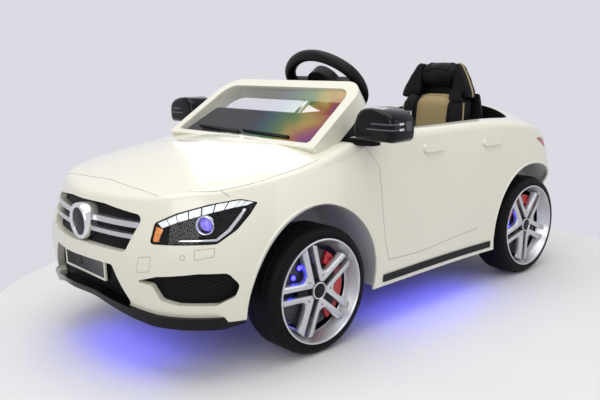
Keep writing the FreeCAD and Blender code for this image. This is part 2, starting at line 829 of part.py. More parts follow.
def frame_ring(gap):
    """The windshield frame before the body is cut from it, grown on all faces by a gap."""
    left = [
        (GLASS_BASE_HALF + FRAME_WIDTH, -FRAME_FOOT, FRAME_FOOT / 4),
        (GLASS_TOP_HALF + FRAME_WIDTH, glass_height() + FRAME_WIDTH, FRAME_CORNER),
    ]
    block = glass_slab(even(left), -FRAME_BACK - gap, FRAME_FRONT + gap, gap)
    return block.cut(glass_slab(glass_corners(), -2 * FRAME_BACK, 2 * FRAME_FRONT, -gap))


def windshield_frame():
    """Frame that stands on the body round the glass."""
    return frame_ring(0.0).cut(hull(0.0))


def windshield_pane():
    """Clear pane inside the frame."""
    half = GLASS_THICKNESS / 2
    return glass_slab(glass_corners(), -half, half).cut(hull(0.0))


def wipers():
    """Two blades that lie on the glass, each tapered towards its tip."""
    face = GLASS_THICKNESS / 2
    solids = []
    for start in WIPER_STARTS:
        end = start - WIPER_LENGTH
        corners = [
            (start, WIPER_LIFT, 0.0),
            (start, WIPER_LIFT + WIPER_WIDTH, 0.0),
            (end, WIPER_RISE, 0.0),
            (end, WIPER_RISE - WIPER_TIP, 0.0),
        ]
        solids.append(glass_slab(corners, face, face + WIPER_WIDTH).cut(hull(0.0)))
    return Part.makeCompound(solids)


# Chassis and drive

def pan_plan():
    """Plan of the chassis pan: full width between the wheels, narrow beside them."""
    front = FRONT_LINER_X - FIT
    rear = REAR_LINER_X - FIT
    wide_front = FRONT_AXLE_Y + LINER_RADIUS + LINER_WALL + FIT
    wide_rear = REAR_AXLE_Y - REAR_LINER_RADIUS - LINER_WALL - FIT
    left = [
        (front, NOSE_Y + PAN_SETBACK, 0.0),
        (front, wide_front, 0.0),
        (BODY_WIDTH, wide_front, 0.0),
        (BODY_WIDTH, wide_rear, 0.0),
        (rear, wide_rear, 0.0),
        (rear, TAIL_Y - PAN_SETBACK, 0.0),
    ]
    return outline(even(left), on_ground)


def chassis_pan():
    """Flat floor pan inside the sills, with a lifting pad and a hole for each screw."""
    pan = upright(pan_plan(), SILL_Z, PAN_TOP_Z).common(walls(BODY_WALL + FIT))
    pad = box((-PAD_HALF, PAD_ENDS[0], SILL_Z - PAD_DROP), (PAD_HALF, PAD_ENDS[1], PAN_TOP_Z))
    return pan.fuse(pad).cut([screw_hole(x, y) for x, y in screw_places()])


def screw_places():
    """Where screws tie the cockpit tub to the pan."""
    return [(side * x, y) for x, y in SCREW_POINTS for side in (-1, 1)]


def screw_hole(x, y):
    """Hole for one screw through the pan and the tub's floor."""
    return upright_rod(SCREW_RADIUS + RUNNING_FIT, x, y, 0, PAN_TOP_Z + TUB_WALL)


def body_screws():
    """Pan-head screws from below, each its own solid."""
    low = SILL_Z - SCREW_HEAD_HEIGHT
    solids = []
    for x, y in screw_places():
        head = upright_rod(SCREW_HEAD_RADIUS, x, y, low, SILL_Z)
        solids.append(head.fuse(upright_rod(SCREW_RADIUS, x, y, low, PAN_TOP_Z + TUB_WALL)))
    return Part.makeCompound(solids)


def underglow_lamps():
    """Light bars under the pan: one across the front and one along each sill."""
    low = SILL_Z - GLOW_HEIGHT
    front_y = NOSE_Y + PAN_SETBACK + GLOW_WIDTH
    half = FRONT_LINER_X - GLOW_WIDTH
    front = box((-half, front_y, low), (half, front_y + GLOW_WIDTH, SILL_Z))
    x = BODY_HALF - GLOW_SILL_INSET
    start = FRONT_AXLE_Y + LINER_RADIUS + GLOW_WIDTH
    end = REAR_AXLE_Y - LINER_RADIUS - GLOW_WIDTH
    side = box((x - GLOW_WIDTH, start, low), (x, end, SILL_Z))
    return Part.makeCompound([front, side, mirrored(side)])


def wheel_liner(axle):
    """Left wheel arch liner: a curved band and an inner wall with a way in for the axle."""
    y = AXLE_YS[axle]
    inner_x, radius = LINERS[axle]
    start, end = (inner_x, y, WHEEL_Z), (BODY_WIDTH, y, WHEEL_Z)
    liner = rod(radius + LINER_WALL, start, end)
    liner = liner.cut(rod(radius, (inner_x + LINER_WALL, y, WHEEL_Z), end))
    liner = liner.common(walls(BODY_WALL + FIT)).cut(under_bumper())
    liner = liner.cut(box((0, -LENGTH, 0), (BODY_WIDTH, LENGTH, SILL_Z)))
    if axle == "front":
        ahead = ROD_Y - ARM_WIDTH - LINER_WAY
        behind = y + ARM_WIDTH + LINER_WAY
        way = box((0, ahead, 0), (inner_x + KNUCKLE_RADIUS, behind, ROD_TOP_Z + LINER_WAY))
    else:
        way = rod(HUB_RADIUS, (0, y, WHEEL_Z), end)
    return liner.cut(way)


def wheel_liners():
    """All four wheel arch liners."""
    liners = [wheel_liner(axle) for axle in AXLE_YS]
    return Part.makeCompound(liners + [mirrored(liner) for liner in liners])


def battery():
    """Battery block on the pan, under the bench."""
    half = BATTERY_LENGTH / 2
    high = PAN_TOP_Z + BATTERY_HEIGHT
    return box((-half, BATTERY_Y, PAN_TOP_Z), (half, BATTERY_Y + BATTERY_WIDTH, high))


def control_box():
    """Motor control box on the pan, beside the battery."""
    low = (-CONTROL_X - CONTROL_LENGTH, BATTERY_Y, PAN_TOP_Z)
    return box(low, (-CONTROL_X, BATTERY_Y + CONTROL_WIDTH, PAN_TOP_Z + CONTROL_HEIGHT))


def gearbox_case():
    """Left gearbox, which stands on the pan and holds the axle."""
    outer = REAR_LINER_X - FIT
    inner = outer - GEARBOX_WIDTH
    ahead, behind = REAR_AXLE_Y - GEARBOX_AHEAD, REAR_AXLE_Y + GEARBOX_BEHIND
    top = PAN_TOP_Z + GEARBOX_HEIGHT
    corners = [
        (ahead, PAN_TOP_Z, GEARBOX_FOOT_CORNER),
        (behind, PAN_TOP_Z, GEARBOX_FOOT_CORNER),
        (behind, top, GEARBOX_TOP_CORNER),
        (ahead, top, GEARBOX_TOP_CORNER),
    ]
    wire = outline(corners, lambda y, z: Vector(inner, y, z))
    case = prism(wire, Vector(GEARBOX_WIDTH, 0, 0))
    return case.cut(axle_rod(AXLE_RADIUS + RUNNING_FIT, LENGTH))


def axle_rod(radius, half_length):
    """A rod along the rear axle, even about the middle plane."""
    start, end = (-half_length, REAR_AXLE_Y, WHEEL_Z), (half_length, REAR_AXLE_Y, WHEEL_Z)
    return rod(radius, start, end)


def drive_motor():
    """Left motor, flange to flange with the gearbox."""
    face = REAR_LINER_X - FIT - GEARBOX_WIDTH
    y = REAR_AXLE_Y - GEARBOX_AHEAD / 2
    z = PAN_TOP_Z + GEARBOX_HEIGHT - MOTOR_RADIUS - MOTOR_DROP
    return rod(MOTOR_RADIUS, (face - MOTOR_LENGTH, y, z), (face, y, z))


def rear_axle():
    """Fixed rear axle that carries both rear wheels."""
    return axle_rod(AXLE_RADIUS, WHEEL_FACE_X - SPOKE_FRONT - AXLE_SETBACK)


# Steering

def column_point(across, side, down):
    """A point by its run down the steering column and its offset square to it."""
    return WHEEL_CENTRE + X_AXIS * across + COLUMN_SIDE * side + COLUMN_DOWN * down


def column_slab(half, low, high, down, thickness):
    """A block square to the column, between two offsets from its axis."""
    corners = ((-half, low), (half, low), (half, high), (-half, high), (-half, low))
    wire = Part.makePolygon([column_point(u, v, down) for u, v in corners])
    return prism(wire, COLUMN_DOWN * thickness)


def column_height(y):
    """Height of the column's axis at a place along the car."""
    return STEERING_WHEEL_Z - (STEERING_WHEEL_Y - y) * math.tan(TILT)


def column_bore(gap):
    """A bore for the steering shaft, along its whole length."""
    end = column_point(0, 0, SHAFT_LENGTH + PITMAN_THICKNESS)
    return rod(SHAFT_RADIUS + gap, column_point(0, 0, 0), end)


def front_beam():
    """Beam with a fork at each end, feet on the pan and a tower for the column."""
    y, half = FRONT_AXLE_Y, BEAM_SIZE / 2
    fork_x = KINGPIN_X - KNUCKLE_RADIUS - FORK_CLEARANCE
    web_x = fork_x - FORK_PLATE
    low = WHEEL_Z - KNUCKLE_HEIGHT / 2 - FORK_PLATE
    high = WHEEL_Z + KNUCKLE_HEIGHT / 2 + FORK_PLATE
    beam = box((-fork_x, y - half, WHEEL_Z - half), (fork_x, y + half, WHEEL_Z + half))
    left = [box((web_x, y - half, low), (fork_x, y + half, high))]
    for base in (low, high - FORK_PLATE):
        left.append(box((web_x, y - half, base), (KINGPIN_X, y + half, base + FORK_PLATE)))
        left.append(upright_rod(half, KINGPIN_X, y, base, base + FORK_PLATE))
    foot = BEAM_FOOT_X
    left.append(box((foot - half, y - half, PAN_TOP_Z), (foot + half, y + half, WHEEL_Z)))
    top = column_height(y) + TOWER_CAP
    tower = box((-half, y - SHAFT_RADIUS, WHEEL_Z), (half, y + SHAFT_RADIUS, top))
    beam = beam.fuse(left + [mirrored(solid) for solid in left] + [tower])
    kingpin = upright_rod(KINGPIN_RADIUS + RUNNING_FIT, KINGPIN_X, y, 0, LENGTH)
    return beam.cut([column_bore(RUNNING_FIT), kingpin, mirrored(kingpin)])


def knuckle():
    """Left knuckle: kingpin, stub axle, and a steering arm with its pin."""
    x, y, half = KINGPIN_X, FRONT_AXLE_Y, KNUCKLE_HEIGHT / 2
    reach = half + FORK_PLATE
    block = upright_rod(KNUCKLE_RADIUS, x, y, WHEEL_Z - half, WHEEL_Z + half)
    kingpin = upright_rod(KINGPIN_RADIUS, x, y, WHEEL_Z - reach, WHEEL_Z + reach)
    stub_end = WHEEL_FACE_X - SPOKE_FRONT - AXLE_SETBACK
    stub = rod(AXLE_RADIUS, (x, y, WHEEL_Z), (stub_end, y, WHEEL_Z))
    high = ROD_TOP_Z - ROD_HEIGHT
    low, half_arm = high - ARM_THICKNESS, ARM_WIDTH / 2
    arm = box((x - half_arm, ROD_Y, low), (x + half_arm, y, high))
    eye = upright_rod(half_arm, x, ROD_Y, low, high)
    pin = upright_rod(ARM_PIN_RADIUS, x, ROD_Y, low, ROD_TOP_Z)
    return block.fuse([kingpin, stub, arm, eye, pin])


def tie_rod():
    """Tie rod with an eye at each arm, and a post with a slot for the column's pin."""
    low, half = ROD_TOP_Z - ROD_HEIGHT, ROD_HEIGHT / 2
    bar = box((-KINGPIN_X, ROD_Y - half, low), (KINGPIN_X, ROD_Y + half, ROD_TOP_Z))
    eye = upright_rod(ARM_WIDTH / 2, KINGPIN_X, ROD_Y, low, ROD_TOP_Z)
    wide, down = SLOT_PLATE_HALF, SHAFT_LENGTH + PITMAN_THICKNESS + PITMAN_GAP
    upper, lower = -PITMAN_ARM, SLOT_RISE - PITMAN_ARM
    plate = column_slab(wide, upper - wide, lower + wide, down, SLOT_PLATE)
    seat = column_point(0, lower + wide, down)
    post = box((-wide, ROD_Y - half, low), (wide, seat.y, seat.z + SLOT_PLATE / 2))
    body = bar.fuse([eye, mirrored(eye), plate, post])
    bore = upright_rod(ARM_PIN_RADIUS + RUNNING_FIT, KINGPIN_X, ROD_Y, 0, LENGTH)
    slot = PITMAN_PIN_RADIUS + SLOT_PLAY
    slots = [column_slab(slot, upper, lower, SHAFT_LENGTH, SLOT_CUT)]
    for end in (upper, lower):
        start = column_point(0, end, SHAFT_LENGTH)
        slots.append(Part.makeCylinder(slot, SLOT_CUT, start, COLUMN_DOWN))
    return body.cut([bore, mirrored(bore)] + slots)


def steering_shaft():
    """Shaft from the steering wheel to a pitman arm with its pin above the shaft."""
    bottom = SHAFT_LENGTH + PITMAN_THICKNESS
    shaft = rod(SHAFT_RADIUS, column_point(0, 0, BOSS_DEPTH / 2), column_point(0, 0, bottom))
    half = PITMAN_HALF
    arm = column_slab(half, -PITMAN_ARM - half, half, SHAFT_LENGTH, PITMAN_THICKNESS)
    pin_start = column_point(0, -PITMAN_ARM, SHAFT_LENGTH)
    pin_end = column_point(0, -PITMAN_ARM, bottom + 2 * PITMAN_GAP + SLOT_PLATE)
    return shaft.fuse([arm, rod(PITMAN_PIN_RADIUS, pin_start, pin_end)])


def grip_segment(centre, radius, start, end):
    """A stretch of the steering wheel's rim round one arc centre, from angle to angle."""
    out = Vector(math.cos(start), math.sin(start), 0)
    along = Vector(-math.sin(start), math.cos(start), 0)
    circle = Part.makeCircle(GRIP_RADIUS, Vector(*centre, 0) + out * radius, along)
    disc = Part.Face(Part.Wire([circle]))
    return disc.revolve(Vector(*centre, 0), Z_AXIS, math.degrees(end - start))


def steering_wheel():
    """Oval rim of four arcs, three spokes, and a boss with a pocket for the horn button."""
    wide, tall = WHEEL_HALF_WIDTH - GRIP_RADIUS, WHEEL_HALF_HEIGHT - GRIP_RADIUS
    side_x = wide - WHEEL_SIDE_ARC
    step = tall - WHEEL_SIDE_ARC
    drop = (side_x ** 2 - step ** 2) / (2 * step)
    corner = math.atan2(drop, side_x)
    segments = []
    for turn in (0.0, math.pi):
        sign = math.cos(turn)
        side = (sign * side_x, 0.0)
        segments.append(grip_segment(side, WHEEL_SIDE_ARC, turn - corner, turn + corner))
        top = (0.0, -sign * drop)
        segments.append(grip_segment(top, tall + drop, turn + corner, turn + math.pi - corner))
    boss = Part.makeCylinder(BOSS_RADIUS, BOSS_DEPTH, Vector(0, 0, -BOSS_DEPTH / 2))
    half, thin = SPOKE_HALF, SPOKE_HALF / 2
    across = box((-wide, -half, -thin), (wide, half, thin))
    down = box((-half, 0, -thin), (half, tall, thin))
    wheel = segments[0].fuse(segments[1:] + [boss, across, down])
    floor = Vector(0, 0, BOSS_DEPTH / 2 - HORN_HEIGHT)
    wheel = wheel.cut(Part.makeCylinder(HORN_RADIUS + RUNNING_FIT, BOSS_DEPTH, floor))
    wheel.Placement = WHEEL_PLACE
    return wheel


def horn_button():
    """Round button in the boss, proud of it by its travel."""
    floor = Vector(0, 0, BOSS_DEPTH / 2 - HORN_HEIGHT + HORN_TRAVEL)
    button = Part.makeCylinder(HORN_RADIUS, HORN_HEIGHT, floor)
    button.Placement = WHEEL_PLACE
    return button


# Wheels, built on the left side about an axle

def turned(profile, axle_y, angle=360.0):
    """A profile of (x, radius) corners turned about an axle, from straight up."""
    points = [Vector(x, axle_y, WHEEL_Z + radius) for x, radius in profile]
    face = Part.Face(Part.makePolygon(points + points[:1]))
    return face.revolve(Vector(0, axle_y, WHEEL_Z), X_AXIS, angle)


def tyre(axle):
    """Tyre with rounded shoulders, seated on the rim's barrel."""
    outer = WHEEL_FACE_X - TYRE_BULGE
    inner = outer - TYRE_WIDTH
    seat, lip = BARREL_RADIUS + RUNNING_FIT, RIM_RADIUS + RUNNING_FIT
    lip_x = WHEEL_FACE_X - RIM_LIP
    shoulder = TYRE_RADIUS - TYRE_SHOULDER
    profile = [
        (inner, seat), (lip_x, seat), (lip_x, lip), (outer, lip), (outer, shoulder),
        (outer - TYRE_SHOULDER, TYRE_RADIUS), (inner + TYRE_SHOULDER, TYRE_RADIUS),
        (inner, shoulder),
    ]
    solid = turned(profile, AXLE_YS[axle])
    rounded = []
    for edge in solid.Edges:
        if edge.Closed and edge.BoundBox.ZLength / 2 > shoulder - TYRE_ROUNDING / 2:
            rounded.append(edge)
    return solid.makeFillet(TYRE_ROUNDING, rounded)


def wheel_prism(corners, low, high):
    """A face view outline (along the car, up) on the wheel's axis, between two x places."""
    points = [Vector(low, y, z) for y, z in corners + corners[:1]]
    return prism(Part.makePolygon(points), Vector(high - low, 0, 0))


def double_spoke():
    """A double spoke that points up from the origin: two bars and a recessed web."""
    front = WHEEL_FACE_X - SPOKE_FRONT
    back = front - SPOKE_DEPTH
    inner, outer = SPOKE_GAP / 2 - SPOKE_WIDTH / 2, SPOKE_GAP / 2 + SPOKE_WIDTH / 2
    far = BARREL_RADIUS
    web = wheel_prism([(-inner, 0), (inner, 0), (inner, far), (-inner, far)], back, front - WEB_SETBACK)
    bars = []
    for side in (-1, 1):
        ends = [side * inner, side * outer]
        corners = [(ends[0], 0), (ends[1], 0), (ends[1], far), (ends[0], far)]
        bars.append(wheel_prism(corners, back, front))
    return web.fuse(bars)


def rim(axle):
    """Spoked rim: barrel with an outer lip, hub with a bore, and double spokes."""
    y, face = AXLE_YS[axle], WHEEL_FACE_X
    inner = face - TYRE_BULGE - TYRE_WIDTH
    bore = BARREL_RADIUS - BARREL_WALL
    lip_x = face - RIM_LIP
    barrel = turned(
        [
            (inner, BARREL_RADIUS), (lip_x, BARREL_RADIUS), (lip_x, RIM_RADIUS),
            (face, RIM_RADIUS), (face, RIM_RADIUS - BARREL_WALL), (lip_x, bore), (inner, bore),
        ],
        y,
    )
    front = face - SPOKE_FRONT
    hub = rod(HUB_RADIUS, (front - HUB_LENGTH, y, WHEEL_Z), (front, y, WHEEL_Z))
    spokes = []
    for index in range(SPOKE_COUNT):
        spoke = double_spoke()
        spoke.rotate(Vector(0, 0, 0), X_AXIS, 360.0 * index / SPOKE_COUNT + SPOKE_TURNS[axle])
        spoke.translate(Vector(0, y, WHEEL_Z))
        spokes.append(spoke)
    star = spokes[0].fuse(spokes[1:])
    star = star.common(rod(bore + BARREL_WALL / 2, (inner, y, WHEEL_Z), (face, y, WHEEL_Z)))
    hole_end = front - AXLE_SETBACK + RUNNING_FIT
    hole = rod(AXLE_RADIUS + RUNNING_FIT, (0, y, WHEEL_Z), (hole_end, y, WHEEL_Z))
    return barrel.fuse([hub, star]).cut(hole)


def brake_insert(axle):
    """Moulded brake disc with a raised caliper, a push fit on the hub."""
    y, low = AXLE_YS[axle], WHEEL_FACE_X - DISC_SETBACK
    high = low + DISC_THICKNESS
    hole = HUB_RADIUS + RUNNING_FIT
    disc = turned([(low, hole), (high, hole), (high, DISC_RADIUS), (low, DISC_RADIUS)], y)
    inner, top = DISC_RADIUS - CALIPER_DEPTH, high + CALIPER_HEIGHT
    profile = [(high, inner), (top, inner), (top, DISC_RADIUS), (high, DISC_RADIUS)]
    caliper = turned(profile, y, CALIPER_ARC)
    caliper.rotate(Vector(0, y, WHEEL_Z), X_AXIS, CALIPER_TURNS[axle])
    return disc.fuse(caliper)


# Cockpit

def tub_plans(inset):
    """Plans of the tub below and above its ledge, drawn in by inset."""
    front, rear = FOOTWELL_HALF - inset, TUB_REAR_HALF - inset
    wide_y = FRONT_AXLE_Y + LINER_RADIUS + LINER_WALL + FOOTWELL_STEP
    left = [
        (front, FOOTWELL_FRONT_Y + inset, TUB_CORNER),
        (front, wide_y + inset, TUB_CORNER),
        (rear, wide_y + FOOTWELL_STEP + inset, TUB_CORNER),
        (rear, COCKPIT_REAR_Y - FIT - inset, COCKPIT_REAR_CORNER - FIT - inset),
    ]
    return outline(even(left), on_ground), cockpit_outline(FIT + inset)


def cockpit_tub():
    """Cockpit moulding, flush with the body: footwell, bench, dashboard ledge, pedal lugs."""
    low, high = tub_plans(0.0)
    outer = upright(low, PAN_TOP_Z, LEDGE_Z).fuse(upright(high, LEDGE_Z - TUB_WALL, LENGTH))
    under = box((-BODY_WIDTH, BENCH_Y + TUB_WALL, 0), (BODY_WIDTH, LENGTH, BENCH_Z - TUB_WALL))
    low, high = tub_plans(TUB_WALL)
    inner = upright(low, PAN_TOP_Z + TUB_WALL, LEDGE_Z).fuse(upright(high, LEDGE_Z, LENGTH))
    bench = box((-BODY_WIDTH, BENCH_Y, 0), (BODY_WIDTH, LENGTH, BENCH_Z))
    tub = outer.cut(under).cut(inner.cut(bench)).cut(column_bore(COLUMN_CLEARANCE))
    tub = tub.common(hull(0.0)).cut([screw_hole(x, y) for x, y in screw_places()])
    return tub.fuse(pedal_bearing())


def pedal_bearing():
    """Two lugs on the tub's floor and the pin between them."""
    solids = []
    y, floor = PEDAL_Y, PAN_TOP_Z + TUB_WALL
    inner = PEDAL_WIDTH / 2 + FIT
    for side in (-1, 1):
        ends = sorted((PEDAL_X + side * inner, PEDAL_X + side * (inner + PEDAL_LUG)))
        low = (ends[0], y - PEDAL_BARREL, floor)
        solids.append(box(low, (ends[1], y + PEDAL_BARREL, PEDAL_Z + PEDAL_PIN)))
    half = inner + PEDAL_LUG / 2
    solids.append(rod(PEDAL_PIN, (PEDAL_X - half, y, PEDAL_Z), (PEDAL_X + half, y, PEDAL_Z)))
    return solids


def accelerator_pedal():
    """Foot plate on a barrel that turns on the tub's pin."""
    left, right = PEDAL_X - PEDAL_WIDTH / 2, PEDAL_X + PEDAL_WIDTH / 2
    start, end = (left, PEDAL_Y, PEDAL_Z), (right, PEDAL_Y, PEDAL_Z)
    low = (left, PEDAL_Y - PEDAL_LENGTH, PEDAL_Z - PEDAL_PLATE / 2)
    plate = box(low, (right, PEDAL_Y, PEDAL_Z + PEDAL_PLATE / 2))
    plate.rotate(Vector(*start), X_AXIS, -PEDAL_REST_ANGLE)
    barrel = rod(PEDAL_BARREL, start, end)
    return barrel.fuse(plate).cut(rod(PEDAL_PIN + RUNNING_FIT, start, end))


def dash_corners():
    """Side view of the dashboard, from its front foot round to its rear foot."""
    front = COCKPIT_FRONT_Y + 2 * FIT + TUB_WALL
    return [
        (front, LEDGE_Z, DASH_FOOT_CORNER),
        (front, GLASS_BASE_Z, DASH_FRONT_CORNER),
        (DASH_CREST_Y, DASH_TOP_Z, DASH_CREST_CORNER),
        (DASH_REAR_Y, DASH_TOP_Z - DASH_FALL, DASH_BROW_CORNER),
        (DASH_REAR_Y, LEDGE_Z + DASH_KNEE, DASH_KNEE_CORNER),
        (DASH_REAR_Y - DASH_KNEE, LEDGE_Z, DASH_FOOT_CORNER),
    ]


def dashboard():
    """Hollow dashboard on the tub's ledge, with bearings for the shaft and its controls."""
    margin = 2 * FIT + TUB_WALL
    plan, inner_plan = [upright(cockpit_outline(inset), 0, LENGTH) for inset in (margin, margin + DASH_WALL)]
    wire = outline(dash_corners(), lambda y, z: Vector(-COCKPIT_HALF, y, z))
    hollow = prism(grown(wire, -DASH_WALL), Vector(2 * COCKPIT_HALF, 0, 0)).common(inner_plan)
    dash = side_slab(dash_corners(), COCKPIT_HALF).common(plan).cut(hollow)
    pin_half = 2 * SWITCH_PIN
    inner = SWITCH_WIDTH / 2 + FIT
    lugs = []
    for side in (-1, 1):
        ends = sorted((SWITCH_X + side * inner, SWITCH_X + side * (inner + SWITCH_LUG)))
        low = (ends[0], SWITCH_Y - pin_half, CONTROLS_Z - pin_half)
        high = (ends[1], DASH_REAR_Y - DASH_WALL / 2, CONTROLS_Z + pin_half)
        lugs.append(box(low, high))
    dash = dash.fuse(lugs)
    behind = DASH_REAR_Y - 2 * DASH_WALL
    power = rod(POWER_RADIUS + RUNNING_FIT, (POWER_X, behind, CONTROLS_Z), (POWER_X, 0, CONTROLS_Z))
    slot_low = (SWITCH_X - inner, SWITCH_Y, CONTROLS_Z - SWITCH_SLOT)
    slot = box(slot_low, (SWITCH_X + inner, 0, CONTROLS_Z + SWITCH_SLOT))
    cuts = [column_bore(RUNNING_FIT), power, slot, switch_pin(RUNNING_FIT), frame_ring(FIT)]
    for cut in cuts:
        dash = dash.cut(cut)
    return dash


def power_button():
    """Round push button in the dashboard's rear face."""
    end = DASH_REAR_Y + POWER_PROUD
    return rod(POWER_RADIUS, (POWER_X, end - POWER_LENGTH, CONTROLS_Z), (POWER_X, end, CONTROLS_Z))


def switch_pin(gap):
    """Pin of the direction switch, grown by a gap, as long as its lugs are apart."""
    reach = SWITCH_WIDTH / 2 + FIT + SWITCH_LUG
    start, end = (SWITCH_X - reach, SWITCH_Y, CONTROLS_Z), (SWITCH_X + reach, SWITCH_Y, CONTROLS_Z)
    return rod(SWITCH_PIN + gap, start, end)


def direction_switch():
    """Rocker on a pin in the dashboard's lugs."""
    half = SWITCH_WIDTH / 2
    low = (SWITCH_X - half, SWITCH_Y - 2 * SWITCH_PIN, CONTROLS_Z - SWITCH_HALF)
    high = (SWITCH_X + half, DASH_REAR_Y + SWITCH_PROUD, CONTROLS_Z + SWITCH_HALF)
    return box(low, high).fuse(switch_pin(0.0))


# Seat

def pad_section(place, half, height):
    """A cushion's cross section: flat back, drawn-in sides, and a crown with two channels."""
    foot, side, channel = half - PAD_FOOT_DRAW, half - PAD_SIDE_DRAW, half * PAD_CHANNEL
    shoulder, valley, bolster = height * PAD_SHOULDER, height * PAD_VALLEY, (side + channel) / 2
    arcs = [
        ((foot, 0), (half, shoulder / 2), (side, shoulder)),
        ((side, shoulder), (bolster, height), (channel, valley)),
        ((channel, valley), (0, height * PAD_CROWN), (-channel, valley)),
        ((-channel, valley), (-bolster, height), (-side, shoulder)),
        ((-side, shoulder), (-half, shoulder / 2), (-foot, 0)),
    ]
    edges = [Part.makeLine(place(-foot, 0), place(foot, 0))]
    for start, middle, end in arcs:
        edges.append(Part.Arc(place(*start), place(*middle), place(*end)).toShape())
    return Part.Wire(edges)


def pad(start, end, halves, height, ease, place_at):
    """A cushion lofted from end to end, drawn in and lower at its ends; halves are its widths."""
    first, last = halves
    low, eased = height * PAD_END, height * PAD_EASED
    stations = [
        (start, first - PAD_DRAW, low),
        (start + ease, first - PAD_WAIST, eased),
        ((start + end) / 2, (first + last) / 2, height),
        (end - ease, last - PAD_WAIST, eased),
        (end, last - PAD_DRAW, low),
    ]
    wires = [pad_section(place_at(run), half, high) for run, half, high in stations]
    return Part.makeLoft(wires, True, False)


def seat_back_place(run):
    """Maps (across, off the seat back) at a run up the back."""
    lean = math.radians(SEAT_LEAN)
    up = Vector(0, math.sin(lean), math.cos(lean))
    off = Vector(0, -math.cos(lean), math.sin(lean))
    base = Vector(0, SEAT_BACK_FOOT_Y, BENCH_Z + SEAT_PLATE + FIT) + up * run
    return lambda u, v: base + X_AXIS * u + off * v


def seat_cushion():
    """Seat pad on the base plate."""
    length = SEAT_BACK_FOOT_Y - BACK_DEPTH - CUSHION_GAP - SEAT_FRONT_Y
    base = Vector(0, SEAT_FRONT_Y, BENCH_Z + SEAT_PLATE + FIT)
    halves = (SEAT_HALF, SEAT_HALF)

    def place_at(run):
        return lambda u, v: base + Vector(u, run, v)

    return pad(0.0, length, halves, CUSHION_HEIGHT, PAD_EASE, place_at)


def seat_back():
    """Back pad, narrower at the shoulders."""
    halves = (SEAT_HALF, SEAT_HALF - SHOULDER_DRAW)
    return pad(0.0, BACK_LENGTH, halves, BACK_DEPTH, PAD_EASE, seat_back_place)


def headrest_end():
    """Run up the seat back at which the headrest reaches the seat's top."""
    lean = math.radians(SEAT_LEAN)
    rise = SEAT_TOP_Z - BENCH_Z - SEAT_PLATE - FIT
    return (rise - HEADREST_DEPTH * PAD_END * math.sin(lean)) / math.cos(lean)


def seat_headrest():
    """Headrest pad above the back."""
    halves = (HEADREST_HALF, HEADREST_HALF - HEADREST_DRAW)
    start = BACK_LENGTH + HEADREST_GAP
    return pad(start, headrest_end(), halves, HEADREST_DEPTH, HEADREST_EASE, seat_back_place)


def seat_shell():
    """Moulded seat: a base plate on the bench and a back plate behind the pads."""
    half = SEAT_HALF + SHELL_MARGIN
    foot_end = SEAT_BACK_FOOT_Y + SEAT_PLATE
    base = box((-half, SEAT_FRONT_Y, BENCH_Z), (half, foot_end, BENCH_Z + SEAT_PLATE))
    shoulder_run = BACK_LENGTH - SHELL_MARGIN
    neck = STRAP_X - STRAP_WIDTH / 2 - FIT
    left = [
        (half, -SEAT_PLATE, 0.0),
        (half, SHELL_WIDE_RUN, SHELL_WIDE_CORNER),
        (SEAT_HALF - SHOULDER_DRAW, shoulder_run, SEAT_PLATE),
        (neck, shoulder_run, 0.0),
        (neck - SEAT_PLATE, headrest_end() - 2 * SHELL_MARGIN, SHELL_TOP_CORNER),
    ]
    wire = outline(even(left), lambda u, run: seat_back_place(run)(u, 0))
    back = prism(wire, seat_back_place(0)(0, -SEAT_PLATE) - seat_back_place(0)(0, 0))
    return base.fuse(back).cut(box((-BODY_WIDTH, 0, 0), (BODY_WIDTH, LENGTH, BENCH_Z)))


def harness_strap():
    """Left shoulder strap: down the seat back, over its top and down behind it."""
    front, back = BACK_DEPTH + FIT, -SEAT_PLATE - FIT
    top, thick = BACK_LENGTH + FIT, STRAP_THICKNESS
    path = [
        (front, STRAP_START),
        (front, top),
        (back, top),
        (back, STRAP_BACK_END),
        (back - thick, STRAP_BACK_END),
        (back - thick, top + thick),
        (front + thick, top + thick),
        (front + thick, STRAP_START),
    ]
    inner = STRAP_X - STRAP_WIDTH / 2
    wire = Part.makePolygon([seat_back_place(run)(inner, v) for v, run in path + path[:1]])
    return prism(wire, Vector(STRAP_WIDTH, 0, 0)).cut(seat_back())


def harness_clip():
    """Clip that lies on the left strap near its top."""
    face = BACK_DEPTH + FIT + STRAP_THICKNESS
    half = STRAP_WIDTH / 2 + CLIP_MARGIN
    low, high = BACK_LENGTH - CLIP_MARGIN - CLIP_LENGTH, BACK_LENGTH - CLIP_MARGIN
    sides = ((STRAP_X - half, low), (STRAP_X + half, low), (STRAP_X + half, high), (STRAP_X - half, high))
    corners = [(u, run, CLIP_MARGIN) for u, run in sides]
    wire = outline(corners, lambda u, run: seat_back_place(run)(u, face))
    return prism(wire, seat_back_place(0)(0, CLIP_THICKNESS) - seat_back_place(0)(0, 0))


# Mirrors

def mirror_housing():
    """Left mirror housing with a recess for the glass and a bore for its pivot pin."""
    high = MIRROR_BASE_Z + MIRROR_HEIGHT
    low = (MIRROR_INNER_X, MIRROR_FRONT_Y, MIRROR_BASE_Z)
    block = box(low, (MIRROR_OUTER_X, MIRROR_REAR_Y, high))
    rounded = [edge for edge in block.Edges if edge.CenterOfMass.y < MIRROR_REAR_Y - MIRROR_GLASS]
    block = block.makeFillet(MIRROR_ROUNDING, rounded)
    bore_top = MIRROR_BASE_Z + MIRROR_PIN_LENGTH
    bore_radius = MIRROR_PIN_RADIUS + RUNNING_FIT
    bore = upright_rod(bore_radius, MIRROR_PIVOT_X, MIRROR_PIVOT_Y, 0, bore_top)
    return block.cut(mirror_glass()).cut(bore)


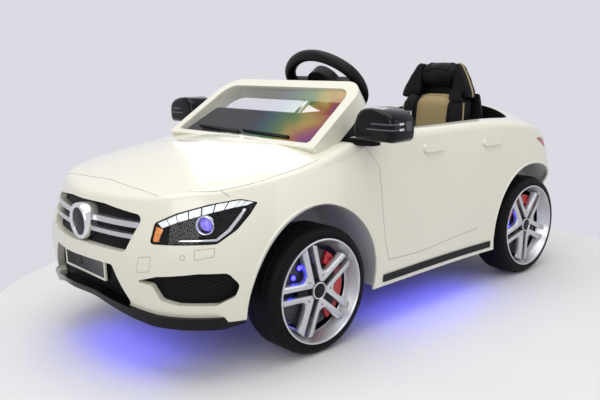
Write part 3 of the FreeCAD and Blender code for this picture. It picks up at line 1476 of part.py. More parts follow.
def mirror_glass():
    """Left mirror glass, flush in the back of its housing."""
    low = (MIRROR_INNER_X + MIRROR_RIM, MIRROR_REAR_Y - MIRROR_GLASS, MIRROR_BASE_Z + MIRROR_RIM)
    top = MIRROR_BASE_Z + MIRROR_HEIGHT - MIRROR_RIM
    return box(low, (MIRROR_OUTER_X - MIRROR_RIM, MIRROR_REAR_Y, top))


def mirror_arm():
    """Left arm from the body's shoulder, with the pivot pin."""
    half, tip = MIRROR_ARM_HALF, MIRROR_PIVOT_X + MIRROR_ARM_HALF
    root, round_tip = COCKPIT_HALF - TUB_WALL, MIRROR_TIP_CORNER
    corners = [
        (root, MIRROR_PIVOT_Y - 2 * half, 0.0),
        (MIRROR_PIVOT_X, MIRROR_PIVOT_Y - half, half / 2),
        (tip, MIRROR_PIVOT_Y - half, round_tip),
        (tip, MIRROR_PIVOT_Y + half, round_tip),
        (root, MIRROR_PIVOT_Y + half, 0.0),
    ]
    top = MIRROR_BASE_Z - FIT
    low = top - MIRROR_ARM_THICKNESS
    plate = upright(outline(corners, on_ground), low, top)
    for cut in (hull(0.0), frame_ring(0.0), upright(cockpit_outline(-FIT), 0, LENGTH)):
        plate = plate.cut(cut)
    pin_top = MIRROR_BASE_Z + MIRROR_PIN_LENGTH - 2 * FIT
    return plate.fuse(upright_rod(MIRROR_PIN_RADIUS, MIRROR_PIVOT_X, MIRROR_PIVOT_Y, low, pin_top))


# Build

def fixed_parts():
    """Shapes of the parts that stay put, by name."""
    optics = headlamp_optics()
    return {
        "chassis_pan": chassis_pan(),
        "body_shell": body_shell(),
        "windshield_frame": windshield_frame(),
        "windshield_pane": windshield_pane(),
        "wipers": wipers(),
        "grille_mesh": grille_mesh(),
        "grille_bars": grille_bars(),
        "intake_meshes": intake_meshes(),
        "number_plate": number_plate(),
        "front_splitter": front_splitter(),
        "headlamp_buckets": pair(headlamp_bucket()),
        "headlamp_optics": Part.makeCompound(optics + [mirrored(solid) for solid in optics]),
        "headlamp_lenses": pair(lens(headlamp_window)),
        "tail_lamps": pair(lens(tail_lamp_window)),
        "rear_diffuser": rear_diffuser(),
        "sill_trims": pair(sill_trim()),
        "door_handles": door_handles(),
        "wheel_liners": wheel_liners(),
        "underglow_lamps": underglow_lamps(),
        "body_screws": body_screws(),
        "battery": battery(),
        "control_box": control_box(),
        "gearbox_cases": pair(gearbox_case()),
        "drive_motors": pair(drive_motor()),
        "rear_axle": rear_axle(),
        "front_beam": front_beam(),
        "cockpit_tub": cockpit_tub(),
        "dashboard": dashboard(),
        "seat_shell": seat_shell(),
        "seat_cushion": seat_cushion(),
        "seat_back": seat_back(),
        "seat_headrest": seat_headrest(),
        "harness_straps": pair(harness_strap()),
        "harness_clip": harness_clip(),
        "mirror_arms": pair(mirror_arm()),
    }


def moving_parts():
    """Shapes of the parts that move, by name."""
    parts = {
        "steering_wheel": steering_wheel(),
        "steering_shaft": steering_shaft(),
        "horn_button": horn_button(),
        "tie_rod": tie_rod(),
        "accelerator_pedal": accelerator_pedal(),
        "power_button": power_button(),
        "direction_switch": direction_switch(),
    }
    sided = {"knuckle": knuckle(), "mirror_housing": mirror_housing(), "mirror_glass": mirror_glass()}
    for axle in AXLE_YS:
        sided[axle + "_tyre"] = tyre(axle)
        sided[axle + "_rim"] = rim(axle)
        sided[axle + "_brake_insert"] = brake_insert(axle)
    for name, shape in sided.items():
        parts["left_" + name] = shape
        parts["right_" + name] = mirrored(shape)
    return parts


def main():
    """Build every sub-part and write it to its own file."""
    os.makedirs("parts", exist_ok=True)
    for name, shape in {**fixed_parts(), **moving_parts()}.items():
        shape.exportStep("parts/" + name + ".step")


main()
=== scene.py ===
"""Looks of the electric ride-on car: finishes, modelled pieces, studio and camera."""
import json
import logging
import math
from dataclasses import dataclass
from enum import Enum
from typing import Callable, Dict, List, Optional, Sequence, Tuple, Union

import bpy
from mathutils import Matrix, Vector


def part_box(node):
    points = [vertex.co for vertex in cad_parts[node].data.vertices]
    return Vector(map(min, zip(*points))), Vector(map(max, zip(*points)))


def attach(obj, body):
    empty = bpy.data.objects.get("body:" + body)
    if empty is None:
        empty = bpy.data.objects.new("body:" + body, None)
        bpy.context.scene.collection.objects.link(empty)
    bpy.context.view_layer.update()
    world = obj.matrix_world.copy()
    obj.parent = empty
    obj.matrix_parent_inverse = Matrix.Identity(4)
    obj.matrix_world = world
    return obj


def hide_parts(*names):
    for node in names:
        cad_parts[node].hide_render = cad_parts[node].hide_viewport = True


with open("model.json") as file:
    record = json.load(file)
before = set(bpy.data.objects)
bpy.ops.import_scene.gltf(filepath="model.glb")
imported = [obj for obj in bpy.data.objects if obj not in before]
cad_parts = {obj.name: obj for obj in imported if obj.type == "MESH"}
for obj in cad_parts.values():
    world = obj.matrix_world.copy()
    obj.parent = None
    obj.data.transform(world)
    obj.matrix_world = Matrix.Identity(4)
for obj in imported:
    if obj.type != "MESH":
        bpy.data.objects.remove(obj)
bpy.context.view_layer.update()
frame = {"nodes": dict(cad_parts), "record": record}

Piece = bpy.types.Object
Face = bpy.types.MeshPolygon
Socket = bpy.types.NodeSocket
Colour = Tuple[float, float, float, float]
Point = Tuple[float, float, float]
Pair = Tuple[float, float]
Box = Tuple[Point, Point]
Plug = Union[float, Point, Colour, Socket]
MM = 0.001
MERGE = 0.02 * MM
SQUARE_ON = 0.9
FULL_TURN = 2 * math.pi
SMOOTH_ANGLE = 35.0
WELT_ANGLE = 60.0
LIP_ANGLE = 70.0
PAD_ANGLE = 80.0
LOG = logging.getLogger("ride_on_car")


# Node groups and finishes

class Graph:
    """A node tree with short ways to add, set and join nodes."""

    def __init__(self, tree: bpy.types.NodeTree) -> None:
        """Keeps the tree to draw in.

        Args:
            tree: The material's or group's node tree.
        """
        self.tree = tree

    @property
    def shader(self) -> bpy.types.Node:
        """The material's surface shader."""
        return self.tree.nodes["Principled BSDF"]

    def join(self, source: Plug, target: Socket) -> None:
        """Links a socket to another, or sets it to a plain value.

        Args:
            source: The socket or the value that goes in.
            target: The socket that takes it.
        """
        if isinstance(source, Socket):
            self.tree.links.new(source, target)
        else:
            target.default_value = source

    def add(self, kind: str, **values: object) -> bpy.types.Node:
        """Adds a node and sets its properties and sockets.

        Args:
            kind: The node's type name without its ShaderNode prefix.
            values: Properties by name, or what goes into sockets, by name with spaces as underscores.

        Returns:
            The new node.
        """
        node = self.tree.nodes.new("ShaderNode" + kind)
        for key, value in values.items():
            if hasattr(node, key):
                setattr(node, key, value)
            else:
                self.join(value, node.inputs[key.replace("_", " ")])
        return node

    def surface(self, **values: Plug) -> None:
        """Sets or links inputs of the surface shader, by name with spaces as underscores."""
        for key, value in values.items():
            self.join(value, self.shader.inputs[key.replace("_", " ")])

    def place(self) -> Socket:
        """Adds Object coordinates."""
        return self.add("TexCoord").outputs["Object"]

    def math(self, operation: str, *values: Plug) -> Socket:
        """The result of a sum on sockets or numbers.

        Args:
            operation: The kind of sum.
            values: What goes into it, in order.

        Returns:
            The result's socket.
        """
        node = self.add("Math", operation=operation)
        for value, socket in zip(values, node.inputs):
            self.join(value, socket)
        return node.outputs["Value"]

    def mix(self, factor: Socket, low: Plug, high: Plug) -> Socket:
        """A colour between two, by a mask.

        Args:
            factor: The mask's socket.
            low: Colour where the mask is 0.
            high: Colour where the mask is 1.

        Returns:
            The mixed colour's socket.
        """
        node = self.add("Mix", data_type="RGBA")
        for value, index in ((factor, 0), (low, 6), (high, 7)):
            self.join(value, node.inputs[index])
        return node.outputs[2]

    def spread(self, value: Socket, low: float, high: float,
               start: float = 0.0, end: float = 1.0) -> Socket:
        """A value moved from one range to another.

        Args:
            value: The socket to read.
            low: Result at start.
            high: Result at end.
            start: Value that gives low.
            end: Value that gives high.

        Returns:
            The new value's socket.
        """
        node = self.add("MapRange", Value=value, From_Min=start, From_Max=end, To_Min=low, To_Max=high)
        return node.outputs["Result"]

    def bump(self, height: Socket, strength: float, distance: float) -> None:
        """Gives the surface shader relief.

        Args:
            height: The height's socket.
            strength: Strength of the relief.
            distance: Its depth in metres.
        """
        node = self.add("Bump", Strength=strength, Distance=distance, Height=height)
        self.surface(Normal=node.outputs["Normal"])


class Groups:
    """The node groups that several finishes share, each built once."""

    @staticmethod
    def start(name: str, inputs: Dict[str, float], outputs: Sequence[str]) -> Optional[Graph]:
        """Opens a new group with a vector input, values in and values out.

        Args:
            name: The group's name.
            inputs: Value inputs with their defaults.
            outputs: Value outputs.

        Returns:
            The group's graph, or None where the group is there already.
        """
        if name in bpy.data.node_groups:
            return None
        tree = bpy.data.node_groups.new(name, "ShaderNodeTree")
        tree.interface.new_socket("Vector", in_out="INPUT", socket_type="NodeSocketVector")
        for label, value in inputs.items():
            socket = tree.interface.new_socket(label, in_out="INPUT", socket_type="NodeSocketFloat")
            socket.default_value = value
        for label in outputs:
            tree.interface.new_socket(label, in_out="OUTPUT", socket_type="NodeSocketFloat")
        tree.nodes.new("NodeGroupInput").name = "In"
        tree.nodes.new("NodeGroupOutput").name = "Out"
        return Graph(tree)

    @classmethod
    def moulded(cls) -> bpy.types.NodeTree:
        """Patches, fine grain and faint scuffs of a moulded or painted surface.

        Returns:
            The group's tree.
        """
        graph = cls.start("moulded_surface", {"Patch Scale": 6.0, "Grain Scale": 900.0},
                          ("Patch", "Grain", "Scuff"))
        if graph:
            into, out = graph.tree.nodes["In"].outputs, graph.tree.nodes["Out"].inputs
            place = into["Vector"]
            patch = graph.add("TexNoise", Vector=place, Scale=into["Patch Scale"], Detail=3.0,
                              Roughness=0.55)
            grain = graph.add("TexNoise", Vector=place, Scale=into["Grain Scale"], Detail=2.0,
                              Roughness=0.6)
            stretch = graph.add("Mapping", Vector=place, Scale=(1.0, 0.18, 1.0))
            scuff = graph.add("TexNoise", Vector=stretch.outputs["Vector"], Scale=55.0, Detail=5.0,
                              Roughness=0.65)
            graph.join(graph.spread(patch.outputs["Fac"], 0.0, 1.0, 0.3, 0.7), out["Patch"])
            graph.join(grain.outputs["Fac"], out["Grain"])
            graph.join(graph.spread(scuff.outputs["Fac"], 0.0, 1.0, 0.48, 0.72), out["Scuff"])
        return bpy.data.node_groups["moulded_surface"]

    @classmethod
    def leather(cls) -> bpy.types.NodeTree:
        """Pebbled grain and soft creases of upholstery.

        Returns:
            The group's tree.
        """
        graph = cls.start("leather_grain", {"Scale": 420.0}, ("Height", "Crease"))
        if graph:
            into, out = graph.tree.nodes["In"].outputs, graph.tree.nodes["Out"].inputs
            place = into["Vector"]
            cells = graph.add("TexVoronoi", feature="DISTANCE_TO_EDGE", Vector=place, Scale=into["Scale"])
            crease = graph.add("TexNoise", Vector=place, Scale=38.0, Detail=6.0, Roughness=0.6,
                               Distortion=0.6)
            graph.join(graph.spread(cells.outputs["Distance"], 0.0, 1.0, 0.0, 0.25), out["Height"])
            graph.join(crease.outputs["Fac"], out["Crease"])
        return bpy.data.node_groups["leather_grain"]

    @classmethod
    def weave(cls) -> bpy.types.NodeTree:
        """Crossed ribs of woven webbing.

        Returns:
            The group's tree.
        """
        graph = cls.start("webbing_weave", {"Scale": 260.0}, ("Height",))
        if graph:
            into, out = graph.tree.nodes["In"].outputs, graph.tree.nodes["Out"].inputs
            waves = []
            for direction in ("X", "Z"):
                wave = graph.add("TexWave", bands_direction=direction, Vector=into["Vector"],
                                 Scale=into["Scale"], Distortion=0.6, Detail=1.0)
                waves.append(wave.outputs["Fac"])
            graph.join(graph.math("MULTIPLY", *waves), out["Height"])
        return bpy.data.node_groups["webbing_weave"]


def shade(colour: Colour, factor: float) -> Colour:
    """The colour made lighter or darker."""
    return tuple(min(1.0, part * factor) for part in colour[:3]) + (colour[3],)


@dataclass(frozen=True)
class Finish:
    """A moulded, painted or metal finish on Object coordinates."""

    name: str
    colour: Colour
    roughness: float
    metallic: float = 0.0
    coat: float = 0.0
    patch_scale: float = 6.0
    patch_depth: float = 0.03
    grain_scale: float = 900.0
    grain_depth: float = 0.0001
    grain_strength: float = 0.2
    scuff: float = 0.08
    glow: float = 0.0
    transmission: float = 0.0
    specular: float = 0.5
    ior: float = 1.5
    coat_roughness: float = 0.03

    def material(self) -> bpy.types.Material:
        """The finish as a material, made on first use."""
        found = bpy.data.materials.get(self.name)
        return found if found else self.make()

    def make(self) -> bpy.types.Material:
        """Builds the material's nodes.

        Returns:
            The new material.
        """
        material = bpy.data.materials.new(self.name)
        material.use_nodes = True
        graph = Graph(material.node_tree)
        skin = graph.add("Group", node_tree=Groups.moulded(), Vector=graph.place(),
                         Patch_Scale=self.patch_scale, Grain_Scale=self.grain_scale).outputs
        low, high = shade(self.colour, 1.0 - self.patch_depth), shade(self.colour, 1.0 + self.patch_depth)
        rough = graph.spread(skin["Scuff"], self.roughness, min(1.0, self.roughness + self.scuff))
        graph.bump(skin["Grain"], self.grain_strength, self.grain_depth)
        graph.surface(Base_Color=graph.mix(skin["Patch"], low, high), Roughness=rough,
                      Metallic=self.metallic, Specular_IOR_Level=self.specular, IOR=self.ior,
                      Coat_Weight=self.coat, Coat_Roughness=self.coat_roughness,
                      Transmission_Weight=self.transmission)
        if self.glow:
            light = graph.mix(skin["Patch"], self.colour, shade(self.colour, 1.1))
            graph.surface(Emission_Color=light, Emission_Strength=self.glow)
        self.detail(graph)
        return material

    def detail(self, graph: Graph) -> None:
        """Adds what one kind of finish has beyond this; a moulded one has nothing more.

        Args:
            graph: The material's graph.
        """


@dataclass(frozen=True)
class Upholstery(Finish):
    """Grained leather with, where it has a width, a round-topped panel of a second colour."""

    panel: Colour = (0.40, 0.315, 0.15, 1.0)
    panel_half: float = 0.0
    panel_top: float = 0.0
    panel_corner: float = 24.0
    panel_blur: float = 0.4
    pebble: float = 420.0
    pebble_depth: float = 0.5

    def detail(self, graph: Graph) -> None:
        """Adds the leather's grain and the panel's colour.

        Args:
            graph: The material's graph.
        """
        place = graph.place()
        grain = graph.add("Group", node_tree=Groups.leather(), Vector=place, Scale=self.pebble).outputs
        rough = graph.spread(grain["Crease"], self.roughness - 0.06, self.roughness + 0.12)
        graph.bump(grain["Height"], 0.4, self.pebble_depth * MM)
        graph.surface(Roughness=rough)
        if self.panel_half:
            panel = graph.mix(grain["Crease"], shade(self.panel, 0.88), shade(self.panel, 1.1))
            under = graph.shader.inputs["Base Color"].links[0].from_socket
            graph.surface(Base_Color=graph.mix(self.mask(graph, place), under, panel))

    def mask(self, graph: Graph, place: Socket) -> Socket:
        """One inside the panel and nought outside it.

        Args:
            graph: The material's graph.
            place: Its coordinates.

        Returns:
            The mask's socket.
        """
        split = graph.add("SeparateXYZ", Vector=place).outputs
        across = graph.math("ABSOLUTE", split["X"])
        flat = graph.add("CombineXYZ")
        for value, limit, axis in ((across, self.panel_half, "X"), (split["Z"], self.panel_top, "Y")):
            over = graph.math("SUBTRACT", value, (limit - self.panel_corner) * MM)
            graph.join(graph.math("MAXIMUM", over, 0.0), flat.inputs[axis])
        reach = graph.add("VectorMath", operation="LENGTH", Vector=flat.outputs["Vector"])
        edge, blur = self.panel_corner * MM, self.panel_blur * MM
        return graph.spread(reach.outputs["Value"], 1.0, 0.0, edge - blur, edge + blur)


@dataclass(frozen=True)
class Webbing(Finish):
    """Woven strap with crossed ribs, with painted shade in the low weave and painted highlight on the ribs'
    tops.
    """

    ribs: float = 260.0
    rib_depth: float = 0.6

    def detail(self, graph: Graph) -> None:
        """Adds the weave's relief, paints shade into its low parts and paints light onto its raised ribs.

        Args:
            graph: The material's graph.
        """
        weave = graph.add("Group", node_tree=Groups.weave(), Vector=graph.place(), Scale=self.ribs)
        height = weave.outputs["Height"]
        graph.bump(height, 0.6, self.rib_depth * MM)
        # Painted shade and highlight: the weave's height darkens the colour where it is low and lightens it
        # on the ribs.
        graph.surface(Base_Color=graph.mix(height, shade(self.colour, 0.7), shade(self.colour, 1.3)))


@dataclass(frozen=True)
class StressedSheet(Finish):
    """Clear moulded sheet with a painted sheen: bands of stress colour, given as a faint glow, towards one
    side.
    """

    start: float = -20.0
    end: float = 160.0
    run_out: float = 205.0
    # Strength of the glow that paints the stress colours on, a painted sheen.
    bands: float = 0.2
    none: Colour = (0.0, 0.0, 0.0, 1.0)
    stops: Tuple[Tuple[float, Colour], ...] = (
        (0.0, (0.02, 0.05, 0.30, 1.0)), (0.22, (0.02, 0.16, 0.55, 1.0)), (0.38, (0.01, 0.36, 0.30, 1.0)),
        (0.52, (0.20, 0.45, 0.05, 1.0)), (0.64, (0.75, 0.55, 0.05, 1.0)), (0.76, (0.65, 0.16, 0.05, 1.0)),
        (0.88, (0.40, 0.03, 0.30, 1.0)), (1.0, (0.10, 0.05, 0.50, 1.0)))

    def detail(self, graph: Graph) -> None:
        """Adds the stress colours as glow, a painted sheen.

        Args:
            graph: The material's graph.
        """
        place = graph.place()
        across = graph.add("SeparateXYZ", Vector=place).outputs["X"]
        noise = graph.add("TexNoise", Vector=place, Scale=11.0, Detail=1.5, Roughness=0.5, Distortion=0.7)
        along = graph.spread(across, 0.0, 0.7, self.start * MM, self.run_out * MM)
        total = graph.math("ADD", along, graph.spread(noise.outputs["Fac"], -0.2, 0.45))
        ramp = graph.add("ValToRGB", Fac=total)
        bar = ramp.color_ramp
        while len(bar.elements) < len(self.stops):
            bar.elements.new(0.5)
        for element, (position, colour) in zip(bar.elements, self.stops):
            element.position = position
            element.color = colour
        sheen_fade = graph.spread(across, 0.0, 1.0, self.start * MM, self.end * MM)
        # Painted sheen: the stress colours glow, fading out towards one side.
        graph.surface(Emission_Color=graph.mix(sheen_fade, self.none, ramp.outputs["Color"]),
                      Emission_Strength=self.bands)


IVORY = Finish("ivory_gloss", (0.83, 0.808, 0.68, 1.0), 0.2, coat=0.5, patch_depth=0.012, grain_scale=260.0,
               grain_strength=0.05, scuff=0.05)
MATT_BLACK = Finish("matt_black_moulding", (0.005, 0.005, 0.006, 1.0), 0.36, grain_strength=0.4,
                    specular=0.1)
TUB_BLACK = Finish("grained_black_moulding", (0.008, 0.008, 0.008, 1.0), 0.5, grain_scale=700.0,
                   grain_strength=0.6, specular=0.16)
PALE_MOULDING = Finish("pale_liner_moulding", (0.62, 0.62, 0.65, 1.0), 0.5, grain_strength=0.4)
GLOSS_BLACK = Finish("gloss_black_moulding", (0.003, 0.003, 0.004, 1.0), 0.1, grain_strength=0.05,
                     specular=0.2)
LAMP_BLACK = Finish("lamp_bucket_black", (0.003, 0.003, 0.004, 1.0), 0.25, grain_strength=0.1, specular=0.1)
MESH_BLACK = Finish("grille_mesh_black", (0.004, 0.004, 0.005, 1.0), 0.4, grain_strength=0.4, specular=0.14)
SILVER = Finish("silver_trim_paint", (0.62, 0.62, 0.63, 1.0), 0.24, metallic=0.85, grain_scale=1600.0)
# The windshield's stress colours are a painted sheen, given as glow.
CLEAR_SHEET = StressedSheet("clear_windshield_sheet", (0.96, 0.97, 0.98, 1.0), 0.02, transmission=1.0,
                            grain_strength=0.02, scuff=0.02, ior=1.14)
CLEAR_LENS = Finish("clear_lamp_lens", (0.98, 0.99, 1.0, 1.0), 0.02, transmission=1.0, grain_strength=0.02,
                    scuff=0.02, ior=1.25)
RED_LENS = Finish("red_tail_lens", (0.36, 0.010, 0.014, 1.0), 0.1, coat=0.6, grain_strength=0.05)
BLUE_LIGHT = Finish("lit_blue_strip", (0.06, 0.05, 1.0, 1.0), 0.4, glow=15.0)
WHEEL_LIGHT = Finish("lit_wheel_lamp", (0.018, 0.016, 1.0, 1.0), 0.4, glow=14.0)
STEEL = Finish("bright_steel", (0.50, 0.50, 0.51, 1.0), 0.3, metallic=1.0, grain_scale=1200.0)
BLACK_STEEL = Finish("black_coated_steel", (0.025, 0.025, 0.026, 1.0), 0.42, metallic=0.2,
                     grain_strength=0.5)
MOTOR_CAN = Finish("zinc_motor_can", (0.30, 0.30, 0.31, 1.0), 0.38, metallic=0.9, grain_scale=1000.0)
BATTERY_GREY = Finish("battery_case_grey", (0.10, 0.10, 0.11, 1.0), 0.5, grain_strength=0.4)
TYRE_BLACK = Finish("tyre_sidewall_black", (0.005, 0.005, 0.006, 1.0), 0.45, grain_scale=1400.0,
                    grain_strength=0.5, scuff=0.1, specular=0.1)
RIM_SILVER = Finish("rim_silver_paint", (0.60, 0.61, 0.63, 1.0), 0.28, metallic=0.75, coat=0.4,
                    grain_scale=1800.0)
DISC_GREY = Finish("brake_disc_grey", (0.050, 0.050, 0.055, 1.0), 0.45, metallic=0.3, grain_scale=1200.0)
CALIPER_RED = Finish("caliper_red", (0.55, 0.012, 0.016, 1.0), 0.25, coat=0.5, grain_strength=0.1)
GRIP_BLACK = Finish("soft_grip_black", (0.006, 0.006, 0.006, 1.0), 0.42, grain_scale=800.0,
                    grain_strength=0.7, specular=0.18)
MIRROR_FILM = Finish("mirror_film", (0.85, 0.87, 0.88, 1.0), 0.03, metallic=1.0, grain_strength=0.02,
                     scuff=0.03)
SEAT_BLACK = Upholstery("seat_black_leather", (0.006, 0.006, 0.008, 1.0), 0.5, specular=0.15)
SEAT_PANEL = Upholstery("seat_panel_leather", (0.006, 0.006, 0.008, 1.0), 0.5, specular=0.15,
                        panel_half=48.0, panel_top=437.0)
TAN_PIPING = Upholstery("tan_piping_leather", (0.40, 0.315, 0.15, 1.0), 0.5, patch_depth=0.1)
STRAP_BLACK = Webbing("strap_black_webbing", (0.009, 0.009, 0.011, 1.0), 0.65, specular=0.2)
SEAM_SHADOW = Finish("seam_shadow", (0.30, 0.285, 0.24, 1.0), 0.6, grain_strength=0.2)
RUNNING_LIGHT = Finish("lit_white_cells", (0.80, 0.85, 0.88, 1.0), 0.15, glow=0.5, grain_scale=420.0,
                       patch_scale=160.0, patch_depth=0.45)
TURN_AMBER = Finish("amber_turn_lamp", (0.80, 0.27, 0.05, 1.0), 0.15, coat=0.4, glow=0.25, patch_scale=120.0,
                    patch_depth=0.35)
BLUE_GLASS = Finish("blue_projector_glass", (0.20, 0.16, 0.85, 1.0), 0.06, coat=1.0, glow=0.55,
                    patch_scale=90.0, patch_depth=0.5, grain_strength=0.05)
STAND_WHITE = Finish("stand_white", (0.78, 0.78, 0.765, 1.0), 0.5, patch_depth=0.01, grain_strength=0.05)
RED_GUIDE = Finish("red_light_guide", (0.62, 0.020, 0.022, 1.0), 0.15, coat=0.5, glow=0.15, patch_scale=60.0,
                   patch_depth=0.15)
DARK_CHROME = Finish("dark_chrome", (0.16, 0.16, 0.17, 1.0), 0.14, metallic=1.0, grain_strength=0.05)
CHROME = Finish("bright_chrome", (0.82, 0.82, 0.83, 1.0), 0.08, metallic=1.0, grain_strength=0.05,
                scuff=0.05)
SMOKED_LENS = Finish("smoked_lens", (0.035, 0.033, 0.035, 1.0), 0.12, coat=0.6, patch_scale=260.0,
                     patch_depth=0.4)

RIM_FINISHES = (RIM_SILVER, GLOSS_BLACK, SILVER)
BRAKE_FINISHES = (DISC_GREY, CALIPER_RED, MATT_BLACK)
LAMP_FINISHES = (WHEEL_LIGHT, GLOSS_BLACK)

SLOT_FINISH: Dict[str, Finish] = {
    "body_gloss": IVORY, "black_plastic": MATT_BLACK, "tub_black": TUB_BLACK, "pale_plastic": PALE_MOULDING,
    "gloss_black": GLOSS_BLACK, "lamp_black": LAMP_BLACK, "mesh_black": MESH_BLACK, "bright_trim": SILVER,
    "clear_pane": CLEAR_SHEET, "clear_lens": CLEAR_LENS, "red_lens": RED_LENS, "blue_light": BLUE_LIGHT,
    "steel": STEEL, "black_steel": BLACK_STEEL, "motor_can": MOTOR_CAN, "battery_grey": BATTERY_GREY,
    "tyre_black": TYRE_BLACK, "rim_silver": RIM_SILVER, "brake_grey": DISC_GREY, "grip_black": GRIP_BLACK,
    "mirror_glass": MIRROR_FILM, "seat_leather": SEAT_BLACK, "webbing": STRAP_BLACK,
}

NODE_FINISH: Dict[str, Finish] = {"headlamp_optics": LAMP_BLACK}


def paint(piece: Piece, *finishes: Finish) -> None:
    """Gives a piece its finishes, one material slot each.

    Args:
        piece: The piece.
        finishes: Its finishes, in the order of its faces' material indices.
    """
    indices = [face.material_index for face in piece.data.polygons]
    piece.data.materials.clear()
    for finish in finishes:
        piece.data.materials.append(finish.material())
    piece.data.polygons.foreach_set("material_index", indices)


# Modelling bench

def mm(*values: float) -> Tuple[float, ...]:
    """Millimetres as metres."""
    return tuple(value * MM for value in values)


class Bench:
    """Short ways to run the modelling operators on one piece at a time."""

    @staticmethod
    def rest() -> None:
        """Leaves edit mode and deselects everything."""
        if bpy.context.object and bpy.context.object.mode != "OBJECT":
            bpy.ops.object.mode_set(mode="OBJECT")
        bpy.ops.object.select_all(action="DESELECT")

    @classmethod
    def take(cls, piece: Piece) -> None:
        """Makes one piece the selected and active one.

        Args:
            piece: The piece to take.
        """
        cls.rest()
        piece.select_set(True)
        bpy.context.view_layer.objects.active = piece

    @classmethod
    def edit(cls, piece: Piece, whole: bool = True) -> None:
        """Opens a piece in edit mode.

        Args:
            piece: The piece to open.
            whole: True selects all of it, False none.
        """
        cls.take(piece)
        bpy.ops.object.mode_set(mode="EDIT")
        bpy.ops.mesh.select_mode(type="VERT")
        bpy.ops.mesh.select_all(action="SELECT" if whole else "DESELECT")

    @classmethod
    def settle(cls, piece: Piece) -> None:
        """Puts a piece's place, turn and scale into its mesh."""
        cls.take(piece)
        bpy.ops.object.transform_apply(location=True, rotation=True, scale=True)

    @classmethod
    def trace(cls, name: str, points: Sequence[Point], fill: bool = True) -> Piece:
        """Draws a line from point to point by extruding one vertex.

        Args:
            name: The new piece's name.
            points: The line's corners, in metres.
            fill: True closes the line and fills it with a face.

        Returns:
            The new piece.
        """
        cls.rest()
        bpy.ops.mesh.primitive_plane_add(size=MM, location=points[0])
        piece = bpy.context.object
        piece.name = name
        cls.settle(piece)
        cls.edit(piece)
        bpy.ops.mesh.merge(type="CENTER")
        for start, end in zip(points, points[1:]):
            step = Vector(end) - Vector(start)
            bpy.ops.mesh.extrude_region_move(TRANSFORM_OT_translate={"value": step})
        if fill:
            bpy.ops.mesh.select_all(action="SELECT")
            bpy.ops.mesh.edge_face_add()
        bpy.ops.object.mode_set(mode="OBJECT")
        return piece

    @classmethod
    def pull(cls, piece: Piece, step: Point) -> None:
        """Extrudes the whole of a flat piece into a block.

        Args:
            piece: The flat piece.
            step: How far and where to, in metres.
        """
        cls.edit(piece)
        bpy.ops.mesh.extrude_region_move(TRANSFORM_OT_translate={"value": step})
        cls.close(piece)

    @classmethod
    def lathe(cls, name: str, line: Sequence[Pair], steps: int, closed: bool = False) -> Piece:
        """Spins a profile about the X axis through the origin.

        Args:
            name: The new piece's name.
            line: The profile's corners, as place along X and radius, in millimetres.
            steps: Number of steps in the turn.
            closed: True joins the profile's ends.

        Returns:
            The turned piece.
        """
        corners = [mm(x, 0.0, radius) for x, radius in line]
        piece = cls.trace(name, corners + corners[:1] if closed else corners, fill=False)
        cls.spin(piece, steps, FULL_TURN)
        return piece

    @classmethod
    def spin(cls, piece: Piece, steps: int, angle: float) -> None:
        """Spins the whole of a piece about the X axis through the origin.

        Args:
            piece: The traced profile.
            steps: Number of steps in the turn.
            angle: How far it turns, in radians.
        """
        cls.edit(piece)
        bpy.ops.mesh.spin(steps=steps, angle=angle, center=(0.0, 0.0, 0.0), axis=(1.0, 0.0, 0.0))
        cls.close(piece)

    @classmethod
    def close(cls, piece: Piece) -> None:
        """Merges doubles and points all faces outwards.

        Args:
            piece: The piece to mend.
        """
        cls.edit(piece)
        bpy.ops.mesh.remove_doubles(threshold=MERGE)
        bpy.ops.mesh.select_all(action="SELECT")
        bpy.ops.mesh.normals_make_consistent(inside=False)
        bpy.ops.object.mode_set(mode="OBJECT")

    @classmethod
    def bevel_edges(cls, piece: Piece, test: Callable[[Vector, Vector], bool], width: float,
                    segments: int) -> None:
        """Bevels the edges whose two ends pass a test.

        Args:
            piece: The piece to work on.
            test: Says whether the edge between two points is bevelled.
            width: The bevel's width in metres.
            segments: Its number of segments.
        """
        cls.edit(piece, whole=False)
        bpy.ops.mesh.select_mode(type="EDGE")
        bpy.ops.object.mode_set(mode="OBJECT")
        points = [vertex.co.copy() for vertex in piece.data.vertices]
        for edge in piece.data.edges:
            edge.select = test(points[edge.vertices[0]], points[edge.vertices[1]])
        bpy.ops.object.mode_set(mode="EDIT")
        bpy.ops.mesh.bevel(offset=width, segments=segments, affect="EDGES", clamp_overlap=True)
        bpy.ops.object.mode_set(mode="OBJECT")

    @classmethod
    def pick_faces(cls, piece: Piece, test: Callable[[Face], bool]) -> None:
        """Opens a piece in edit mode with only the faces that pass a test selected.

        Args:
            piece: The piece to open.
            test: Says whether a face is selected.
        """
        cls.edit(piece, whole=False)
        bpy.ops.mesh.select_mode(type="FACE")
        bpy.ops.object.mode_set(mode="OBJECT")
        for face in piece.data.polygons:
            face.select = test(face)
        bpy.ops.object.mode_set(mode="EDIT")

    @classmethod
    def apply(cls, piece: Piece, kind: str, **values: object) -> None:
        """Adds a modifier, sets it and applies it.

        Args:
            piece: The piece that gets it.
            kind: The modifier's type.
            values: Its settings by name.
        """
        cls.take(piece)
        modifier = piece.modifiers.new(kind.lower(), kind)
        for key, value in values.items():
            setattr(modifier, key, value)
        bpy.ops.object.modifier_apply(modifier=modifier.name)

    @classmethod
    def round(cls, piece: Piece, width: float, segments: int = 2) -> None:
        """Rounds a piece's sharp edges and smooths its shading.

        Args:
            piece: The piece.
            width: Width of the rounding in metres.
            segments: Its number of segments.
        """
        cls.apply(piece, "BEVEL", width=width, segments=segments, limit_method="ANGLE",
                  angle_limit=math.radians(SMOOTH_ANGLE), harden_normals=False)
        cls.smooth(piece)

    @classmethod
    def smooth(cls, piece: Piece, angle: float = SMOOTH_ANGLE) -> None:
        """Smooths the shading up to an angle."""
        cls.take(piece)
        bpy.ops.object.shade_smooth_by_angle(angle=math.radians(angle))

